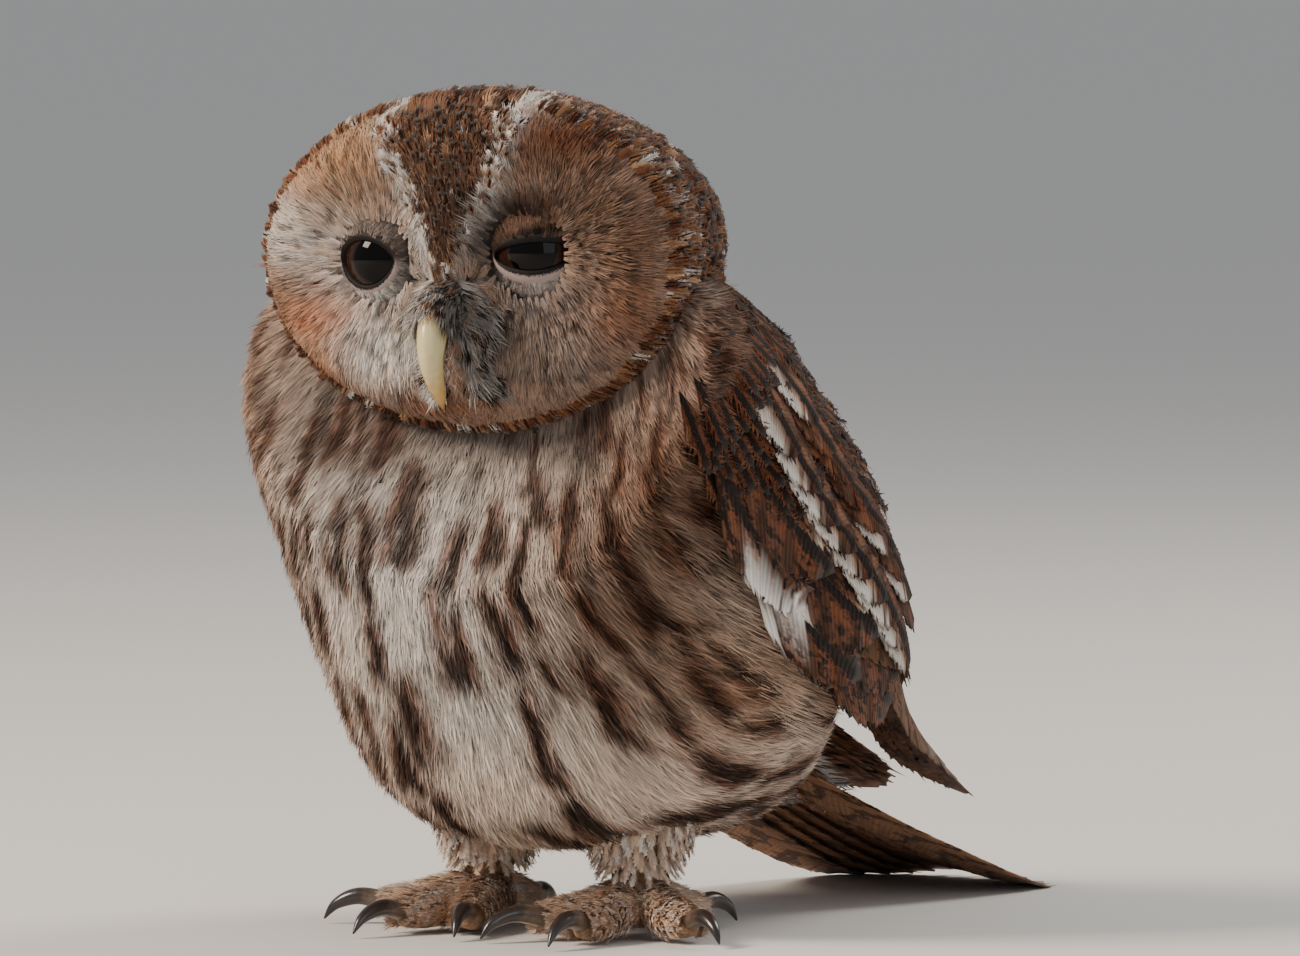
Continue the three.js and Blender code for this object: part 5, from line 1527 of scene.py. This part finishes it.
# %% [markdown]
# ## Lids
# Each eye looks out between two bare rims, dark at the edge and pinkish grey outside. The left eye is half
# closed, so its opening is a low almond and its upper lid shows a crease, drawn as painted shade on the lid's
# feathers and the disc's hairs above it; painted shade also darkens each eye's inner corner. A lid is a band
# on the ball from the opening outwards, thickest a third of the way out, and the smallest feathers of all
# grow on it.

# %% Eyelids
LID_SHAPES = {1: (11.0, 3.5, 4.3), -1: (8.8, 6.1, 6.7)}  # half width, height above and below the middle
LID_REACH = 12.9
LID_STEEP = 0.92
LID_GRID = (16, 120)


def lid_at(hand):
    """A place from the angle round the opening, the share of the way out to LID_REACH, and the height. The
    opening is an almond: half width times cos, and upper or lower height times sin to the power 1.25, which
    draws the corners out to points. Past LID_STEEP of the ball's radius the angle goes on evenly."""
    half, upper, lower = LID_SHAPES[hand]

    def place(turn, out, height):
        c, s = np.cos(turn), np.sin(turn)
        x, y = half * c, np.where(s > 0, upper, lower) * np.sign(s) * np.abs(s) ** 1.25
        x, y = x + out * (LID_REACH * c - x), y + out * (LID_REACH * s - y)
        swell = 0.2 + 1.0 * np.sqrt(ease(out, -0.05, 0.3)) - 0.8 * ease(out, 0.4, 1)
        radius = (EYE_BALL + swell + height)[..., None]
        flat = np.hypot(x, y) / (EYE_BALL + swell)
        away = np.arcsin(np.clip(flat, 0, LID_STEEP)) + 1.2 * np.clip(flat - LID_STEEP, 0, None)
        way = np.arctan2(y, x)
        points = radius * np.stack([np.sin(away) * np.cos(way), np.sin(away) * np.sin(way), np.cos(away)], -1)
        return points @ eye_axes(hand) + EYE_MIDDLE[hand]
    return place


# Bare skin is moist and finely wrinkled, here in cells of about 0.4 mm.
lid_skin, add = new_material("Bare eyelid skin")
out, below, _ = add("SeparateXYZ", [add("Attribute", out="Vector", attribute_name="lid")], out=None)
crease = add("TexNoise", {"Vector": add("TexCoord", out="Object"), "Scale": 2600.0, "Detail": 3.0})
out = add("Math", [out, add("MapRange", [crease, 0.3, 0.7, -0.05, 0.05])], operation="ADD")
rim_to_skin = add("MapRange", [out, 0.12, 0.2], **SMOOTH)
skin_to_dark = add("MapRange", [out, 0.42, 0.5], **SMOOTH)
pink = add("Mix", {0: below, 6: opaque("#2a1f1c"), 7: opaque("#9c8b86")}, **COLOURS)
tone = add("Mix", {0: rim_to_skin, 6: opaque("#0f0a09"), 7: pink}, **COLOURS)
tone = add("Mix", {0: skin_to_dark, 6: tone, 7: opaque("#2c211d")}, **COLOURS)
wrinkle = add("Bump", {"Height": crease, "Strength": 0.5, "Distance": 0.0003})
finish_material(add, {"Base Color": tone, "Roughness": 0.55, "Specular IOR Level": 0.2, "Normal": wrinkle})

for hand, name in SIDES:
    out, turn = (grid.ravel() for grid in around(np.r_[0, np.linspace(0, 1, LID_GRID[0] - 1)], LID_GRID[1]))
    inner = np.repeat([-0.7, 0.0], [LID_GRID[1], len(turn) - LID_GRID[1]])
    faces = tube_faces(*LID_GRID, capped=False)[:, ::-1]
    lids = mesh_from(f"Eyelids_{name}", lid_at(hand)(turn, out, inner), faces, lid_skin)
    give(lids, "lid", "FLOAT_VECTOR", np.stack([out, ease(-np.sin(turn), -0.3, 0.4), 0 * turn], -1))
    hand_over(lids, "plumage")

# %% Feathers on the lids
LID_TONES = {1: ("#6f5545", "#a79d97", 0.3, 1.0, 0.9), -1: ("#8d8078", "#cdc8c2", 0.14, 0.2, 0.6)}
# tone above and below, share left bare below, and strength of the painted shade in the crease and in the
# inner corner
for hand, name in SIDES:
    above, below, bare, crease_shade_strength, corner_shade_strength = LID_TONES[hand]
    turn, out = rooted(lid_at(hand), (0, TURN), (0.05, 1.0), 0.8, 0.75, uneven=0.4)
    keep = out > 0.06 + (bare - 0.06) * ease(-np.sin(turn), -0.2, 0.3)
    turn, out = turn[keep], out[keep]
    lower = ease(-np.sin(turn), -0.2, 0.3)
    fold = 0.13 + 0.2 * hand * np.cos(turn)
    # painted shade: near-black in the crease over the upper lid and in the eye's inner corner
    crease = crease_shade_strength * (1 - lower) * np.exp(-((out - fold) / 0.12) ** 2)
    corner = corner_shade_strength * np.exp(-((np.cos(turn) + hand) / 0.35) ** 2)
    tone = varied(mixed(linear(above), linear(below), lower), 0.16, len(turn))
    tone = mixed(tone, SOOT, np.clip(np.maximum(crease, corner), 0, 1))
    tufts = plant(lid_at(hand), turn, out, HAIR, 2.6 + 1.2 * out, 0.65, root=-0.3, tip=0.75 + 0.5 * out,
                  heading=np.pi / 2, loose=0.22)
    ring_out = 10 + 3 * out
    dress(tufts, tone, 0, (0, 0, 0), unwrapped(np.cos(turn) * ring_out, np.sin(turn) * ring_out, *FACE_SPANS))
    coat(f"Lid_feathers_{name}", HAIR_PLUMAGE, [tufts])

# %% [markdown]
# ## Bristles round the bill
# Stiff, hair-like feathers spring from the bill's root and hide all but the front half of it. They fan out
# to both sides, white to the owl's right and sooty to its left, and reach down over the chin.

# %% Bristles
BILL_UPPER = [(20, -11, 5.5, 7), (31, -12.5, 5, 6.2), (38, -16.5, 4.2, 5), (41, -23, 3.4, 3.9),
              (39.8, -29.5, 2.6, 2.9), (36.6, -35, 1.6, 1.8)]  # forward, up, half width, half height
BILL_LOWER = [(18, -22, 4.6, 4), (22.8, -24.4, 3.0, 2.4), (25.2, -26.4, 1.8, 1.3)]
FAN_COUNT = 130
FANS = [  # spans to the side, upwards, of the angle from straight down and of length, and the tips' height
    ((1.0, 10), (-16, -4.5), (15, 80), (7, 11), 3.4), ((3.5, 9), (-34, -14), (5, 60), (7, 10), 2.6)]


def bristle_tones(side_share, count, rust_chance):
    """Sooty towards the owl's left, white towards its right, with a few black and rusty ones."""
    tone = mixed(WHITE * 0.85, linear("#7a716b"), ease(side_share, -0.5, 0.5))
    tone = varied(mixed(tone, GREY, draw.uniform(0.15, 0.8, count)), 0.15, count)
    black = (draw.random(count) < 0.12 + 0.14 * (side_share > 0))[:, None]
    rusty = (draw.random(count) < rust_chance)[:, None]
    return np.where(black, SOOT * 1.5, np.where(rusty, RUFOUS, tone))


def bill_at(rows):
    """An oval tube along rows of the bill, its height along the section's normal."""
    def place(t, angle, height, keel=0):
        row, back, up = section(rows, t)
        rise = (row[..., 3] + height) * np.sin(angle)
        across = (row[..., 2] + height) * np.cos(angle) * (1 - keel * np.sin(angle))
        return head_point(across, row[..., 0] + back * rise, row[..., 1] + up * rise)
    return place


bristles = []
for rows, low, high, long in ((BILL_UPPER, 0.02, 0.33, 8.5), (BILL_LOWER, 0.05, 0.97, 7.5)):
    t, angle = rooted(bill_at(rows), (low, high), (-np.pi, np.pi), 1.0, 0.9, uneven=0.4)
    top = ease(np.sin(angle), 0.3, 0.9)
    beard = plant(bill_at(rows), t, angle, HAIR, long - 1.5 * top, 1.2, root=-0.3, tip=1.9, loose=0.2)
    bristles.append(dress(beard, bristle_tones(np.cos(angle), len(t), 0.25 * top), 0, (0, 0, 0),
                          unwrapped(10 * np.cos(angle), BILL_ROOT_UP - 10 * t, *FACE_SPANS)))
for hand, _ in SIDES:
    for side_span, up_span, fan, long, lift in FANS:
        side = hand * draw.uniform(*side_span, FAN_COUNT)
        up = draw.uniform(*up_span, FAN_COUNT)
        way = -np.pi / 2 + hand * draw.uniform(*fan, FAN_COUNT) * DEGREES
        near = 1 - ease(np.abs(side), 3, 8)
        beard = plant(face_at, side, up, HAIR, draw.uniform(*long, FAN_COUNT), 1.5, root=-1.0,
                      tip=lift + 3 * near, heading=way, loose=0.2, curl=-0.6)
        rust_chance = np.where(up > BILL_ROOT_UP, 0.2, 0.03)
        tone = bristle_tones(np.full(FAN_COUNT, float(hand)), FAN_COUNT, rust_chance)
        bristles.append(dress(beard, tone, 0, (0, 0, 0), unwrapped(side, up, *FACE_SPANS)))
coat("Bill_bristles", HAIR_PLUMAGE, bristles)

# %% [markdown]
# ## Bill and claws
# Both are horn: a core of bone under layers of keratin, worn smooth. The bill is ivory yellow, a little
# greyer at its root and more amber at its tip, and the claws shade from brown horn at the root to black at
# the point. Each is a tapering tube along a curve in the head's or the toe's middle plane.

# %% The material of horn
def horn(name, root_tone, middle_tone, tip_tone, rough_value):
    """Three tones from root to tip, wavering in patches of about 2 mm, with faint growth lines, under a thin
    clear coat. Keratin's IOR is 1.54."""
    made, add = new_material(name)
    along, _, _ = add("SeparateXYZ", [add("Attribute", out="Vector", attribute_name="horn")], out=None)
    grain = add("TexNoise", {"Vector": add("TexCoord", out="Object"), "Scale": 500.0, "Detail": 4.0})
    along = add("Math", [along, add("MapRange", [grain, 0.3, 0.7, -0.08, 0.08])], operation="ADD")
    first = add("MapRange", [along, 0.1, 0.4], **SMOOTH)
    second = add("MapRange", [along, 0.55, 1.0], **SMOOTH)
    tone = add("Mix", {0: first, 6: opaque(root_tone), 7: opaque(middle_tone)}, **COLOURS)
    tone = add("Mix", {0: second, 6: tone, 7: opaque(tip_tone)}, **COLOURS)
    line = add("Math", [add("Math", [along, 160.0], operation="MULTIPLY")], operation="SINE")
    bumps = add("Bump", {"Height": line, "Strength": 0.06, "Distance": 0.0002})
    finish_material(add, {"Base Color": tone, "Roughness": rough_value, "IOR": 1.54, "Coat Weight": 0.4,
                          "Coat Roughness": 0.12, "Normal": bumps})
    return made


BILL_HORN = horn("Ivory bill horn", "#a79a72", "#d8c995", "#c89c58", 0.3)
CLAW_HORN = horn("Dark claw horn", "#6b5a4c", "#2e2521", "#120e0d", 0.28)


def horn_piece(name, points, grid, run, material, slot, replaced):
    """A closed tube with its two end points last, and how far along it each point is."""
    piece = mesh_from(name, points, outward(points, tube_faces(*grid)), material)
    give(piece, "horn", "FLOAT_VECTOR", np.stack([run, 0 * run, 0 * run], -1))
    hand_over(piece, slot, replaced)


# %% Bill
BILL_GRID = (48, 40)
BILL_TIPS = {  # rows, tip, how much the keel narrows it, how far along the tones it goes
    "upper": (BILL_UPPER, (34.5, -39), 0.18, 1.0), "lower": (BILL_LOWER, (25.9, -27.8), -0.15, 0.6)}
NOSTRIL_SIDE, NOSTRIL_FORWARD, NOSTRIL_UP, NOSTRIL_SIZE, NOSTRIL_DEEP = 4.6, 34, -14.5, (2.2, 1.9, 1.4), 1.5
for name, (rows, tip, keel, yellowed) in BILL_TIPS.items():
    t, angle = around(np.linspace(0, 1, BILL_GRID[0]), BILL_GRID[1])
    rings = bill_at(rows)(t, angle, 0, keel).reshape(-1, 3)
    points = np.concatenate([rings, [head_point(0.0, rows[0][0] - 4, rows[0][1]), head_point(0.0, *tip)]])
    if name == "upper":
        local = np.stack(in_head(points), -1)
        for hand, _ in SIDES:
            away = (local - [hand * NOSTRIL_SIDE, NOSTRIL_FORWARD, NOSTRIL_UP]) / NOSTRIL_SIZE
            dent = NOSTRIL_DEEP * np.exp(-(away ** 2).sum(1))
            points = points - dent[:, None] * (HEAD_TURN @ [hand, 0, 0])
    run = yellowed * np.r_[t.ravel(), 0, 1.05]
    horn_piece(f"Bill_{name}", points, BILL_GRID, run, BILL_HORN, "bill_horn", f"bill_{name}")

# %% Claws
CLAW_GRID = (28, 20)
CLAW_RADII = 2.5 * np.array([1.1, 1, 0.82, 0.5, 0.12])
for hand, side_name in SIDES:
    for toe, (degrees, length, claw) in TOES.items():
        way = [(length - 2, 6.4), (length + 0.35 * claw, 7.8), (length + 0.72 * claw, 5.6),
               (length + 0.92 * claw, 1.6)]
        t, angle = around(np.linspace(0, 1, CLAW_GRID[0]), CLAW_GRID[1])
        rings = toe_tube(hand, degrees, way, CLAW_RADII)(t.ravel(), angle.ravel(), np.zeros(t.size))
        middles = rings.reshape(*CLAW_GRID, 3).mean(1)
        points = np.concatenate([rings, [middles[0], 2 * middles[-1] - middles[-2]]])
        points[:, 2] = np.maximum(points[:, 2], 0.05)
        horn_piece(f"Claw_{side_name}_{toe}", points, CLAW_GRID, np.r_[t.ravel(), 0, 1], CLAW_HORN,
                   "claw_horn", f"claw_{side_name}_{toe}")
